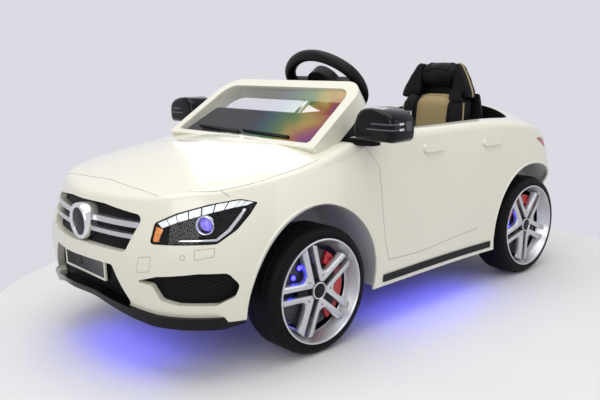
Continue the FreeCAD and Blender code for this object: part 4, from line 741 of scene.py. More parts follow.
    @staticmethod
    def copy(piece: Piece, name: str) -> Piece:
        """A copy of a piece with its own mesh.

        Args:
            piece: The piece.
            name: The copy's name.

        Returns:
            The copy.
        """
        twin = piece.copy()
        twin.data = piece.data.copy()
        twin.name = name
        bpy.context.scene.collection.objects.link(twin)
        return twin

    @staticmethod
    def cast(node: str, name: str) -> Piece:
        """A new piece with a merged copy of a node's mesh.

        Args:
            node: The node, which stays as it is.
            name: The new piece's name.

        Returns:
            The new piece.
        """
        piece = bpy.data.objects.new(name, frame["nodes"][node].data.copy())
        bpy.context.scene.collection.objects.link(piece)
        Bench.close(piece)
        return piece

    @classmethod
    def join(cls, name: str, pieces: Sequence[Piece], *finishes: Finish) -> Piece:
        """Joins pieces into the first one.

        Args:
            name: Name of the joined piece.
            pieces: The pieces, the first of which stays.
            finishes: Where their faces have material indices, the finishes that these stand for.

        Returns:
            The joined piece.
        """
        for piece in pieces if finishes else ():
            paint(piece, *finishes)
        cls.take(pieces[0])
        for piece in pieces[1:]:
            piece.select_set(True)
        if len(pieces) > 1:
            bpy.ops.object.join()
        pieces[0].name = name
        return pieces[0]

    @classmethod
    def move(cls, piece: Piece, matrix: Matrix) -> Piece:
        """Moves a piece by a matrix, into its mesh, and keeps its faces outwards.

        Args:
            piece: The piece.
            matrix: The move, which may mirror.

        Returns:
            The same piece.
        """
        piece.matrix_world = matrix @ piece.matrix_world
        cls.settle(piece)
        if matrix.determinant() < 0:
            cls.close(piece)
        return piece

    @classmethod
    def block(cls, name: str, low: Point, high: Point) -> Piece:
        """A box between two corners, in metres, as a start for a piece.

        Args:
            name: The box's name.
            low: One corner.
            high: The corner across from it.

        Returns:
            The box.
        """
        cls.rest()
        middle = [(a + b) / 2 for a, b in zip(low, high)]
        bpy.ops.mesh.primitive_cube_add(size=1.0, location=middle)
        piece = bpy.context.object
        piece.name = name
        piece.scale = [abs(b - a) for a, b in zip(low, high)]
        cls.settle(piece)
        return piece

    @classmethod
    def stud(cls, name: str, radius: float, start: Point, end: Point, sides: int) -> Piece:
        """A round bar from one point to another, in metres, as a start for a piece.

        Args:
            name: The bar's name.
            radius: Its radius.
            start: Middle of one end.
            end: Middle of the other end.
            sides: Number of its sides.

        Returns:
            The bar.
        """
        cls.rest()
        run = Vector(end) - Vector(start)
        bpy.ops.mesh.primitive_cylinder_add(vertices=sides, radius=radius, depth=run.length,
                                            location=(Vector(start) + Vector(end)) / 2)
        piece = bpy.context.object
        piece.name = name
        piece.rotation_euler = run.to_track_quat("Z", "Y").to_euler()
        cls.settle(piece)
        return piece

    @classmethod
    def path(cls, name: str, points: Sequence[Vector], closed: bool = False) -> Piece:
        """A smooth line near a row of points, as a chain of edges.

        Args:
            name: The line's name.
            points: Its guide points, in metres.
            closed: True joins its ends.

        Returns:
            The line.
        """
        cls.rest()
        curve = bpy.data.curves.new(name, "CURVE")
        curve.dimensions = "3D"
        spline = curve.splines.new("NURBS")
        spline.points.add(len(points) - 1)
        for knot, point in zip(spline.points, points):
            knot.co = (point[0], point[1], point[2], 1.0)
        spline.order_u = min(3, len(points))
        spline.use_endpoint_u = not closed
        spline.use_cyclic_u = closed
        spline.resolution_u = 10
        line = bpy.data.objects.new(name, curve)
        bpy.context.scene.collection.objects.link(line)
        cls.take(line)
        bpy.ops.object.convert(target="MESH")
        return bpy.context.object

    @classmethod
    def welt(cls, name: str, points: Sequence[Vector], carrier: Piece, radius: float, rise: float,
             closed: bool = False) -> Piece:
        """A round line laid on the surface of another piece.

        Args:
            name: The line's name.
            points: Guide points near the surface, in metres.
            carrier: The piece that carries it.
            radius: The line's radius in millimetres.
            rise: How far its middle lies above the surface, in millimetres.
            closed: True joins its ends.

        Returns:
            The line as a closed tube.
        """
        line = cls.path(name, points, closed)
        cls.apply(line, "SHRINKWRAP", target=carrier, wrap_method="NEAREST_SURFACEPOINT",
                  wrap_mode="ABOVE_SURFACE", offset=rise * MM)
        cls.take(line)
        bpy.ops.object.convert(target="CURVE")
        tube = bpy.context.object
        tube.data.bevel_depth = radius * MM
        tube.data.bevel_resolution = 2
        tube.data.use_fill_caps = True
        bpy.ops.object.convert(target="MESH")
        cls.close(bpy.context.object)
        cls.smooth(bpy.context.object, WELT_ANGLE)
        return bpy.context.object


def fit(piece: Piece, body: str, slot: str, *finishes: Finish, stands_for: Sequence[str] = ()) -> None:
    """Paints a finished piece and lets it ride on its body.

    Args:
        piece: The finished piece.
        body: The body that it moves with.
        slot: The record's material slot; not used.
        finishes: Its finishes, one for each material index.
        stands_for: The nodes that it replaces.
    """
    paint(piece, *finishes)
    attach(piece, body)
    if stands_for:
        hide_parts(*stands_for)
    LOG.info("piece %s rides on %s", piece.name, body)


def tint(piece: Piece, index: int, test: Optional[Callable[[Face], bool]] = None) -> None:
    """Gives the faces that pass a test, or all without one, a material index.

    Args:
        piece: The piece.
        index: The material index.
        test: Says whether a face gets it.
    """
    for face in piece.data.polygons:
        if test is None or test(face):
            face.material_index = index


class Side(Enum):
    """The car's two sides, by the sign of X."""

    LEFT = 1
    RIGHT = -1

    @property
    def label(self) -> str:
        """The side's name as the nodes have it."""
        return self.name.lower()

    def mirror(self) -> Matrix:
        """The matrix that takes a left piece to this side."""
        return Matrix.Diagonal((self.value, 1.0, 1.0, 1.0))


def fit_both(piece: Piece, name: str, slot: str, finish: Finish,
             angle: float = SMOOTH_ANGLE) -> List[Piece]:
    """Fits a copy and a mirror image of a left piece to the chassis and takes the piece away.

    Args:
        piece: The left piece.
        name: The copies' name, after their side.
        slot: The record's material slot.
        finish: Their finish.
        angle: The angle in degrees up to which their shading is smooth.

    Returns:
        The left and the right copy.
    """
    twins = []
    for side in Side:
        twin = Bench.move(Bench.copy(piece, f"{side.label}_{name}"), side.mirror())
        Bench.smooth(twin, angle)
        fit(twin, "chassis", slot, finish)
        twins.append(twin)
    bpy.data.objects.remove(piece)
    return twins


# Wheels

class Axle(Enum):
    """The two axles: place along the car, turn of the spokes, start of the caliper, turn of the lamps."""

    FRONT = (-268.0, 13.5, -28.0, 57.0)
    REAR = (432.0, 31.5, 60.0, 57.0)

    def __init__(self, along: float, spokes: float, caliper: float, lamps: float) -> None:
        """Names the axle's values.

        Args:
            along: Place along the car, in millimetres.
            spokes: Turn of the spokes, in degrees.
            caliper: Turn at which the caliper starts, in degrees.
            lamps: Turn of the lamps, in degrees.
        """
        self.along = along
        self.spokes = spokes
        self.caliper = caliper
        self.lamps = lamps

    @property
    def label(self) -> str:
        """The axle's name as the nodes have it."""
        return self.name.lower()


@dataclass
class Wheel:
    """A road wheel: tyre, spoked rim with a plain cap, brake insert and lamps inside."""

    face_x: float = 300.0
    centre_z: float = 120.0
    tyre_radius: float = 120.0
    tyre_width: float = 84.0
    bulge: float = 2.0
    rim_radius: float = 98.6
    barrel_radius: float = 92.5
    spoke_front: float = 10.0
    spoke_depth: float = 13.0
    apex: float = 21.0
    leg_half: float = 5.8
    leg_top: float = 5.0
    leg_end: float = 71.5
    leg_slope: float = 36.0
    spokes: int = 5
    pitch: float = 72.0
    bolt_at: float = 29.0
    bolt_radius: float = 1.9
    ribs: int = 4
    shoulder: float = 12.0
    disc_front: float = 30.0
    drill_rows: Tuple[Pair, ...] = ((46.0, 0.0), (55.0, 8.0), (64.0, 16.0))
    drill_pitch: float = 24.0
    drill_radius: float = 1.5
    caliper_sweep: float = 125.0
    lamp_at: float = 56.0
    lamp_pitch: float = 22.0
    lamp_radius: float = 4.6
    lamp_length: float = 5.5
    lamp_dome: float = 3.0
    cup_radius: float = 6.0
    cup_length: float = 1.8
    lamp_sides: int = 20
    steps: int = 120
    hub_steps: int = 60
    disc_steps: int = 90

    def build(self) -> None:
        """Makes one wheel of each axle and copies it to the other side."""
        for axle in Axle:
            made = [self.tyre(), self.rim(axle), self.brake(axle), self.lamps(axle)]
            for side in Side:
                self.place(made, side, axle)
            for piece in made:
                bpy.data.objects.remove(piece)

    def place(self, made: Sequence[Piece], side: Side, axle: Axle) -> None:
        """Puts copies of a wheel's pieces on one side of an axle.

        Args:
            made: Tyre, rim, brake insert and lamps, at the origin.
            side: The side they go to.
            axle: The axle they go to.
        """
        place = side.mirror() @ Matrix.Translation(mm(self.face_x, axle.along, self.centre_z))
        wheel = f"{side.label}_{axle.label}"
        dress = (("tyre", "tyre_black", (TYRE_BLACK,)), ("rim", "rim_silver", RIM_FINISHES),
                 ("brake_insert", "brake_grey", BRAKE_FINISHES),
                 ("wheel_lamps", "blue_light", LAMP_FINISHES))
        for piece, (name, slot, finishes) in zip(made, dress):
            twin = Bench.move(Bench.copy(piece, f"{wheel}_{name}_dressed"), place)
            Bench.smooth(twin)
            node = f"{wheel}_{name}"
            fit(twin, wheel + "_wheel", slot, *finishes,
                stands_for=[node] if node in frame["nodes"] else [])

    def tyre(self) -> Piece:
        """A tyre with rounded shoulders, sidewall rings and tread grooves.

        Returns:
            The tyre at the origin, its axle along X, its face towards +X.
        """
        outer, inner = -self.bulge, -self.bulge - self.tyre_width
        lip, top = self.rim_radius + 0.3, self.tyre_radius
        half = [(outer - 2.2, lip), (outer - 0.4, lip + 1.0), (outer, lip + 2.4), (outer - 0.9, lip + 3.0),
                (outer - 0.9, lip + 4.0), (outer - 0.1, lip + 4.6), (outer - 0.2, top - 13.0),
                (outer - 1.2, top - 9.0), (outer - 3.6, top - 5.0), (outer - 7.6, top - 2.2),
                (outer - self.shoulder, top - 1.0)]
        tread = []
        run = (self.tyre_width - 2 * self.shoulder) / self.ribs
        for rib in range(self.ribs):
            start = outer - self.shoulder - rib * run
            tread += [(start - 1.6, top), (start - run + 3.4, top), (start - run + 2.6, top - 2.4),
                      (start - run + 1.2, top - 2.4)]
        back = [(inner + self.shoulder, top - 1.0), (inner + 7.6, top - 2.2), (inner + 3.0, top - 5.5),
                (inner, top - 13.0), (inner, self.barrel_radius), (outer - 32.0, self.barrel_radius),
                (outer - 4.0, lip)]
        return Bench.lathe("tyre", half + tread[:-2] + back, self.steps, closed=True)

    def vee(self) -> Piece:
        """Two spoke legs that meet in a vee with a bolt hole, drawn along Z from the hub.

        Returns:
            The vee at the origin; its front faces +X.
        """
        slope = math.radians(self.leg_slope)
        along = Vector((math.sin(slope), math.cos(slope)))
        aside = Vector((math.cos(slope), -math.sin(slope)))
        start = Vector((0.0, self.apex))
        legs = [start + aside * self.leg_half, start + along * self.leg_end + aside * self.leg_half,
                start + along * (self.leg_end - 6.0) - aside * (self.leg_half + 1.0),
                start + along * 27.0 - aside * self.leg_half]
        inner = [Vector((6.2, 40.6)), Vector((2.2, 39.0))]
        half = [(point.x, point.y) for point in legs + inner]
        outline = half + [(-y, z) for y, z in reversed(half)]
        front = -self.spoke_front
        vee = Bench.trace("vee", [mm(front - self.spoke_depth, y, z) for y, z in outline])
        Bench.pull(vee, mm(self.spoke_depth, 0.0, 0.0))

        def window(one: Vector, two: Vector) -> bool:
            """Says whether an edge of the front borders the gap between the legs.

            Args:
                one: One end of the edge.
                two: Its other end.

            Returns:
                True where it does.
            """
            middle = (one + two) / 2 / MM
            flat = Vector((abs(middle.y), middle.z)) - start
            front_edge = min(one.x, two.x) > MM * (front - 0.1)
            return front_edge and flat.dot(aside) < -0.3 and flat.dot(along) < self.leg_end - 5.0
        Bench.bevel_edges(vee, window, MM * self.leg_top, 2)
        hole = Bench.stud("bolt_hole", MM * self.bolt_radius, mm(front - 5.0, 0.0, self.bolt_at),
                          mm(front + 5.0, 0.0, self.bolt_at), 16)
        Bench.apply(vee, "BOOLEAN", operation="DIFFERENCE", object=hole, solver="EXACT")
        bpy.data.objects.remove(hole)
        Bench.round(vee, MM * 0.7)
        return vee

    def rim(self, axle: Axle) -> Piece:
        """The dished ring, five vees, the black hub star and the plain cap.

        Args:
            axle: The axle, for the spokes' turn.

        Returns:
            The rim at the origin.
        """
        lip, inner = self.rim_radius, -self.bulge - self.tyre_width
        profile = [(-2.2, lip), (-0.6, lip - 0.3), (0.0, lip - 1.2), (0.0, lip - 3.0), (-1.0, lip - 3.8),
                   (-2.6, lip - 4.2), (-10.0, 91.0), (-26.0, 87.0), (-29.0, 84.5), (inner, 84.0),
                   (inner, 89.0), (-31.0, 90.0), (-8.0, 96.0)]
        ring = Bench.lathe("rim_ring", profile, self.steps, closed=True)
        tint(ring, 1, lambda face: face.center.x < MM * -28.0)
        vees = self.around(self.vee(), axle.spokes + self.pitch / 2)
        return Bench.join("rim", [ring] + vees + self.hub(axle), *RIM_FINISHES)

    def around(self, piece: Piece, first: float) -> List[Piece]:
        """Copies of a piece evenly round the axle, in place of the piece.

        Args:
            piece: The piece, drawn along Z from the hub.
            first: Turn of the first copy, in degrees.

        Returns:
            The copies.
        """
        copies = []
        for index in range(self.spokes):
            turn = Matrix.Rotation(math.radians(first + self.pitch * index), 4, "X")
            copies.append(Bench.move(Bench.copy(piece, piece.name + "_copy"), turn))
        bpy.data.objects.remove(piece)
        return copies

    def hub(self, axle: Axle) -> List[Piece]:
        """The black star between the legs, the hub barrel and the ringed cap.

        Args:
            axle: The axle, for the star's turn.

        Returns:
            The pieces of the hub.
        """
        front = -self.spoke_front
        outline = ((-6.4, 11.0), (6.4, 11.0), (6.4, 46.0), (4.6, 50.0), (-4.6, 50.0), (-6.4, 46.0))
        web = Bench.trace("web", [mm(front - self.spoke_depth, y, z) for y, z in outline])
        Bench.pull(web, mm(self.spoke_depth - 4.0, 0.0, 0.0))
        Bench.round(web, MM * 0.8)
        pieces = self.around(web, axle.spokes)
        core = [(front - 60.0, 9.0), (front - 60.0, 23.0), (front - 14.0, 23.0), (front - 8.0, 21.0),
                (front - 1.5, 20.0), (front - 0.3, 19.0), (front - 0.3, 9.0)]
        cap = [(front - 1.0, 0.0), (front + 1.6, 0.0), (front + 1.4, 8.0), (front + 0.8, 13.0),
               (front + 0.6, 13.4)]
        ring = [(front + 0.6, 13.4), (front + 2.0, 13.9), (front + 2.4, 15.0), (front + 2.0, 16.2),
                (front - 0.5, 16.8)]
        pieces += [Bench.lathe("hub_barrel", core, self.hub_steps), Bench.lathe("cap", cap, self.hub_steps)]
        for piece in pieces:
            tint(piece, 1)
        bright = Bench.lathe("cap_ring", ring, self.hub_steps)
        tint(bright, 2)
        return pieces + [bright]

    def brake(self, axle: Axle) -> Piece:
        """A drilled disc with its bell and the red caliper.

        Args:
            axle: The axle, for the caliper's place.

        Returns:
            The brake insert at the origin.
        """
        front = -self.disc_front
        profile = [(front - 4.0, 24.3), (front + 1.0, 24.3), (front + 1.6, 25.5), (front + 1.6, 36.0),
                   (front + 0.4, 38.0), (front, 40.0), (front, 72.8), (front - 0.8, 74.0),
                   (front - 3.2, 74.0), (front - 4.0, 73.0)]
        disc = Bench.lathe("disc", profile, self.disc_steps, closed=True)
        drill = []
        for radius, shift in self.drill_rows:
            for index in range(int(360.0 / self.drill_pitch)):
                angle = math.radians(self.drill_pitch * index + shift)
                y, z = radius * math.sin(angle), radius * math.cos(angle)
                drill.append(Bench.stud("drill", MM * self.drill_radius, mm(front - 1.0, y, z),
                                        mm(front + 0.25, y, z), 10))
        holes = Bench.join("drilled", drill)
        tint(holes, 2)
        return Bench.join("brake", [disc, holes, self.caliper(axle)], *BRAKE_FINISHES)

    def caliper(self, axle: Axle) -> Piece:
        """The caliper's curved block with two stepped bosses.

        Args:
            axle: The axle, for the turn at which it starts.

        Returns:
            The caliper at the origin.
        """
        front = -self.disc_front
        profile = [(front, 49.0), (front + 5.0, 50.0), (front + 6.6, 52.0), (front + 6.6, 60.0),
                   (front + 4.8, 62.0), (front + 4.8, 66.0), (front + 6.2, 67.5), (front + 6.2, 71.0),
                   (front + 4.0, 73.6), (front, 74.0)]
        block = Bench.trace("caliper", [mm(x, 0.0, radius) for x, radius in profile])
        Bench.spin(block, 24, math.radians(self.caliper_sweep))
        Bench.round(block, MM * 0.5)
        Bench.move(block, Matrix.Rotation(math.radians(axle.caliper), 4, "X"))
        tint(block, 1)
        return block

    def lamps(self, axle: Axle) -> Piece:
        """Three blue lamps on a small holder inside the wheel.

        Args:
            axle: The axle, for the holder's turn.

        Returns:
            The lamps at the origin.
        """
        front = -self.disc_front
        parts = []
        for step in (-1, 0, 1):
            angle = math.radians(axle.lamps + self.lamp_pitch * step)
            y, z = -self.lamp_at * math.sin(angle), self.lamp_at * math.cos(angle)
            start, top = mm(front, y, z), mm(front + self.lamp_length, y, z)
            lens = Bench.stud("wheel_lamp", MM * self.lamp_radius, start, top, self.lamp_sides)
            Bench.bevel_edges(lens, lambda one, two: min(one.x, two.x) > MM * (front + 5.0),
                              MM * self.lamp_dome, 3)
            cup = Bench.stud("wheel_lamp_cup", MM * self.cup_radius, start,
                             mm(front + self.cup_length, y, z), self.lamp_sides)
            tint(cup, 1)
            parts += [lens, cup]
        return Bench.join("wheel_lamps", parts, *LAMP_FINISHES)


# Body seams

@dataclass
class BodySeams:
    """Moulded seams of the body, laid on its skin as narrow shadow lines."""

    radius: float = 0.75
    sink: float = 0.42
    fine: float = 0.5
    sensor_at: Point = (236.4, -521.0, 223.9)
    sensor_radius: float = 4.2
    door: Tuple[Point, ...] = ((270.3, -127.1, 369.4), (281.0, -98.0, 333.0), (283.5, -97.5, 321.0),
                               (287.6, -99.6, 304.6), (297.5, -102.9, 235.0), (299.7, -98.7, 179.6),
                               (297.9, -85.2, 142.1))
    sill: Tuple[Point, ...] = ((297.9, -85.2, 142.1), (295.5, -16.1, 137.2), (294.3, 41.7, 138.1),
                               (294.2, 112.6, 144.4), (297.9, 215.5, 152.1))
    hood: Tuple[Point, ...] = ((207.8, -488.0, 324.1), (231.9, -465.2, 323.9), (244.9, -444.9, 324.7),
                               (265.6, -382.9, 332.8), (271.2, -315.8, 344.1), (271.3, -290.0, 348.0),
                               (266.9, -243.8, 356.6))
    bumper: Tuple[Point, ...] = ((244.9, -444.9, 324.7), (255.4, -435.6, 315.5))
    nose: Tuple[Point, ...] = ((0.0, -520.0, 326.2), (68.4, -524.4, 323.4), (125.3, -522.8, 321.2),
                               (170.3, -521.4, 317.2))
    boot: Tuple[Point, ...] = ((150.0, 565.0, 368.0), (152.0, 574.0, 345.0), (150.0, 583.0, 322.0),
                               (146.0, 591.0, 285.0), (138.0, 595.0, 258.0), (112.0, 598.0, 248.0),
                               (0.0, 600.0, 247.0))
    rear_bumper: Tuple[Point, ...] = ((0.0, 599.0, 196.0), (120.0, 595.0, 196.0), (220.0, 580.0, 198.0),
                                      (262.0, 560.0, 203.0))
    cover_one: Tuple[Point, ...] = ((168.6, -562.9, 219.6), (190.6, -553.0, 223.3), (189.2, -557.2, 198.1),
                                    (166.2, -566.8, 194.5))
    cover_two: Tuple[Point, ...] = ((247.9, -504.9, 235.1), (267.0, -477.3, 237.5), (268.1, -481.2, 224.0),
                                    (250.2, -507.3, 219.5))

    def build(self) -> None:
        """Lays the seams of the left side and copies them to the right."""
        seams = (self.door, self.sill, self.hood, self.bumper, self.nose, self.boot, self.rear_bumper)
        lines = [self.lay(line, self.radius) for line in seams]
        for cover in (self.cover_one, self.cover_two):
            lines += [self.lay(edge, self.fine) for edge in zip(cover, cover[1:] + cover[:1])]
        ring = []
        for index in range(9):
            turn = index * math.pi / 4
            away = Vector((math.cos(turn), 0.5 * math.cos(turn), math.sin(turn)))
            ring.append(Vector(self.sensor_at) + self.sensor_radius * away)
        lines.append(self.lay(ring, self.fine))
        fit_both(Bench.join("body_seams", lines), "body_seams", "body_gloss", SEAM_SHADOW, WELT_ANGLE)

    def lay(self, points: Sequence[Point], radius: float) -> Piece:
        """One seam through points of the skin, sunk so that little of it stands proud.

        Args:
            points: Points of the skin, in millimetres.
            radius: The seam's radius in millimetres.

        Returns:
            The seam.
        """
        line = [Vector(point) * MM for point in points]
        rise = -self.sink * radius / self.radius
        return Bench.welt("seam", line, frame["nodes"]["body_shell"], radius, rise)


@dataclass
class HandleCup:
    """An oval cup lip round a door handle."""

    half_length: float = 31.0
    half_height: float = 15.0
    lip: float = 1.6
    steps: int = 24
    places: Tuple[Point, ...] = ((275.4, 78.0, 343.9), (285.1, 277.0, 337.7))

    def build(self) -> None:
        """Lays a lip round each handle on both sides."""
        body = frame["nodes"]["body_shell"]
        for index, place in enumerate(self.places):
            centre = Vector(place) * MM
            points = []
            for step in range(self.steps):
                turn = FULL_TURN * step / self.steps
                points.append(centre + Vector((0.0, self.half_length * MM * math.cos(turn),
                                               self.half_height * MM * math.sin(turn))))
            lip = Bench.welt("handle_cup", points, body, self.lip, -0.3 * self.lip, True)
            fit_both(lip, f"handle_cup_{index}", "body_gloss", IVORY, LIP_ANGLE)


@dataclass
class ArchLip:
    """The rounded lip of the body round each wheel arch."""

    radius: float = 3.0
    sink: float = 1.2
    arch: float = 156.5
    far: float = 420.0
    nearest: float = 240.0
    steps: int = 48
    places: Tuple[Pair, ...] = ((-276.0, 128.0), (432.0, 120.0))

    def build(self) -> None:
        """Lays a lip along each arch on both sides."""
        body = frame["nodes"]["body_shell"]
        for axle, (middle, height) in zip(Axle, self.places):
            points = []
            for step in range(self.steps + 1):
                turn = math.pi * step / self.steps
                start = Vector(mm(self.far, middle + self.arch * math.cos(turn),
                                  height + self.arch * math.sin(turn)))
                hit, place, _, _ = body.ray_cast(start, Vector((-1.0, 0.0, 0.0)))
                if hit and place.x > self.nearest * MM:
                    points.append(place)
            lip = Bench.welt("arch_lip", points, body, self.radius, -self.sink)
            fit_both(lip, f"{axle.label}_arch_lip", "body_gloss", IVORY, LIP_ANGLE)


# Front trim

@dataclass
class FrontTrim:
    """Lattices in the openings, the boss's ring and dish, and the framed plate."""

    cell: float = 6.0
    strand: float = 1.2
    diamond: Point = (1.25, 0.8, 1.0)
    off: float = 50.0
    missed: float = 40.0
    boss_z: float = 258.0
    boss_steps: int = 72
    plate_frame: float = 3.4
    plate_step: float = 0.6
    plate_sink: float = 1.0

    def build(self) -> None:
        """Makes the lattices, the boss ring and the plate."""
        self.lattice("grille_lattice", "grille_mesh")
        self.lattice("intake_lattice", "intake_meshes")
        self.boss()
        self.plate()

    def lattice(self, name: str, node: str) -> None:
        """A diamond lattice pressed onto the front of a mesh panel.

        Args:
            name: The lattice's name.
            node: The panel that carries it.
        """
        low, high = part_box(node)
        half = (high.x - low.x + high.z - low.z) * 0.75
        count = int(2 * half / (self.cell * MM))
        Bench.rest()
        bpy.ops.mesh.primitive_grid_add(x_subdivisions=count, y_subdivisions=count, size=2 * half)
        panel = bpy.context.object
        panel.name = name
        panel.rotation_euler = (0.0, 0.0, math.radians(45.0))
        Bench.settle(panel)
        panel.scale = self.diamond
        panel.rotation_euler = (math.radians(90.0), 0.0, 0.0)
        panel.location = ((low.x + high.x) / 2, low.y - self.off * MM, (low.z + high.z) / 2)
        Bench.settle(panel)
        Bench.apply(panel, "SHRINKWRAP", target=frame["nodes"][node], wrap_method="PROJECT",
                    use_project_y=True, use_positive_direction=True, use_negative_direction=False,
                    offset=-0.2 * MM)
        Bench.edit(panel, whole=False)
        bpy.ops.object.mode_set(mode="OBJECT")
        plate_low, plate_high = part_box("number_plate")
        for vertex in panel.data.vertices:
            across, _, rise = vertex.co
            behind = plate_low.x < across < plate_high.x and plate_low.z < rise < plate_high.z
            vertex.select = vertex.co.y < low.y - self.missed * MM or behind
        bpy.ops.object.mode_set(mode="EDIT")
        bpy.ops.mesh.delete(type="VERT")
        Bench.rest()
        Bench.apply(panel, "WIREFRAME", thickness=self.strand * MM, use_even_offset=False,
                    use_boundary=True)
        fit(panel, "chassis", "mesh_black", MESH_BLACK)

    def boss(self) -> None:
        """A bright ring round a plain black dish on the grille's boss."""
        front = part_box("grille_bars")[0].y / MM
        ring = ((0.4, 25.0), (2.0, 25.3), (4.0, 27.4), (4.6, 29.6), (3.4, 31.8), (0.8, 33.4), (-9.0, 33.6))
        dish = ((1.6, 0.0), (1.3, 10.0), (0.8, 18.0), (0.5, 23.0), (0.4, 25.0))
        forwards = Matrix.Rotation(math.radians(-90.0), 4, "Z")
        turn = Matrix.Translation(mm(0.0, front, self.boss_z)) @ forwards
        for name, line, slot, finish in (("boss_ring", ring, "bright_trim", CHROME),
                                         ("boss_dish", dish, "gloss_black", GLOSS_BLACK)):
            piece = Bench.move(Bench.lathe(name, line, self.boss_steps), turn)
            Bench.smooth(piece)
            fit(piece, "chassis", slot, finish)

    def plate(self) -> None:
        """A blank black plate sunk in a pale frame."""
        low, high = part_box("number_plate")
        plate = Bench.block("plate_holder", low, high)
        Bench.pick_faces(plate, lambda face: face.normal.y < -SQUARE_ON)
        bpy.ops.mesh.inset(thickness=self.plate_frame * MM, depth=0.0)
        bpy.ops.mesh.inset(thickness=self.plate_step * MM, depth=-self.plate_sink * MM)
        bpy.ops.object.mode_set(mode="OBJECT")
        sunk = low.y + self.plate_step * MM
        tint(plate, 1, lambda face: face.normal.y < -SQUARE_ON and face.center.y > sunk)
        Bench.round(plate, 0.5 * MM)
        fit(plate, "chassis", "gloss_black", IVORY, GLOSS_BLACK, stands_for=["number_plate"])


# Lamps

BODY_CORNER = (306.0, 600.0, 89.0)
LAMP_LEAN = 33.5
LAMP_OFF = 200.0


class Corner(Enum):
    """The body's left corners, by the sign of Y."""

    FRONT = -1
    REAR = 1

    def axes(self) -> Matrix:
        """The frame of a corner's lamp: across, up and outwards, from a point off the corner.

        Returns:
            The frame as a matrix.
        """
        turn = math.radians(LAMP_LEAN)
        across = Vector((math.cos(turn), -self.value * math.sin(turn), 0.0))
        outward = Vector((math.sin(turn), self.value * math.cos(turn), 0.0))
        matrix = Matrix((across, Vector((0.0, 0.0, 1.0)), outward)).transposed().to_4x4()
        x, y, z = BODY_CORNER
        matrix.translation = Vector(mm(x, self.value * y, z)) + outward * LAMP_OFF * MM
        return matrix


@dataclass
class TailLamp:
    """Raised light guides on a tail lamp's lens."""

    radius: float = 1.3
    guides: Tuple[Tuple[Pair, ...], ...] = (
        ((-138.0, 203.0), (-60.0, 204.0), (-20.0, 209.0), (30.0, 219.0), (50.0, 232.0)),
        ((-134.0, 217.0), (-60.0, 218.0), (-20.0, 222.0), (18.0, 228.0), (36.0, 233.0)))

    def build(self) -> None:
        """Lays the guides on the left lens and copies them to the right."""
        place = Corner.REAR.axes()
        inward = place.to_3x3() @ Vector((0.0, 0.0, -1.0))
        lens = frame["nodes"]["tail_lamps"]
        lines = []
        for guide in self.guides:
            hits = [lens.ray_cast(place @ Vector(mm(across, rise, 0.0)), inward) for across, rise in guide]
            lines.append(Bench.welt("guide", [hit[1] for hit in hits if hit[0]], lens, self.radius, -0.3))
        fit_both(Bench.join("tail_guides", lines), "tail_guides", "red_lens", RED_GUIDE, WELT_ANGLE)


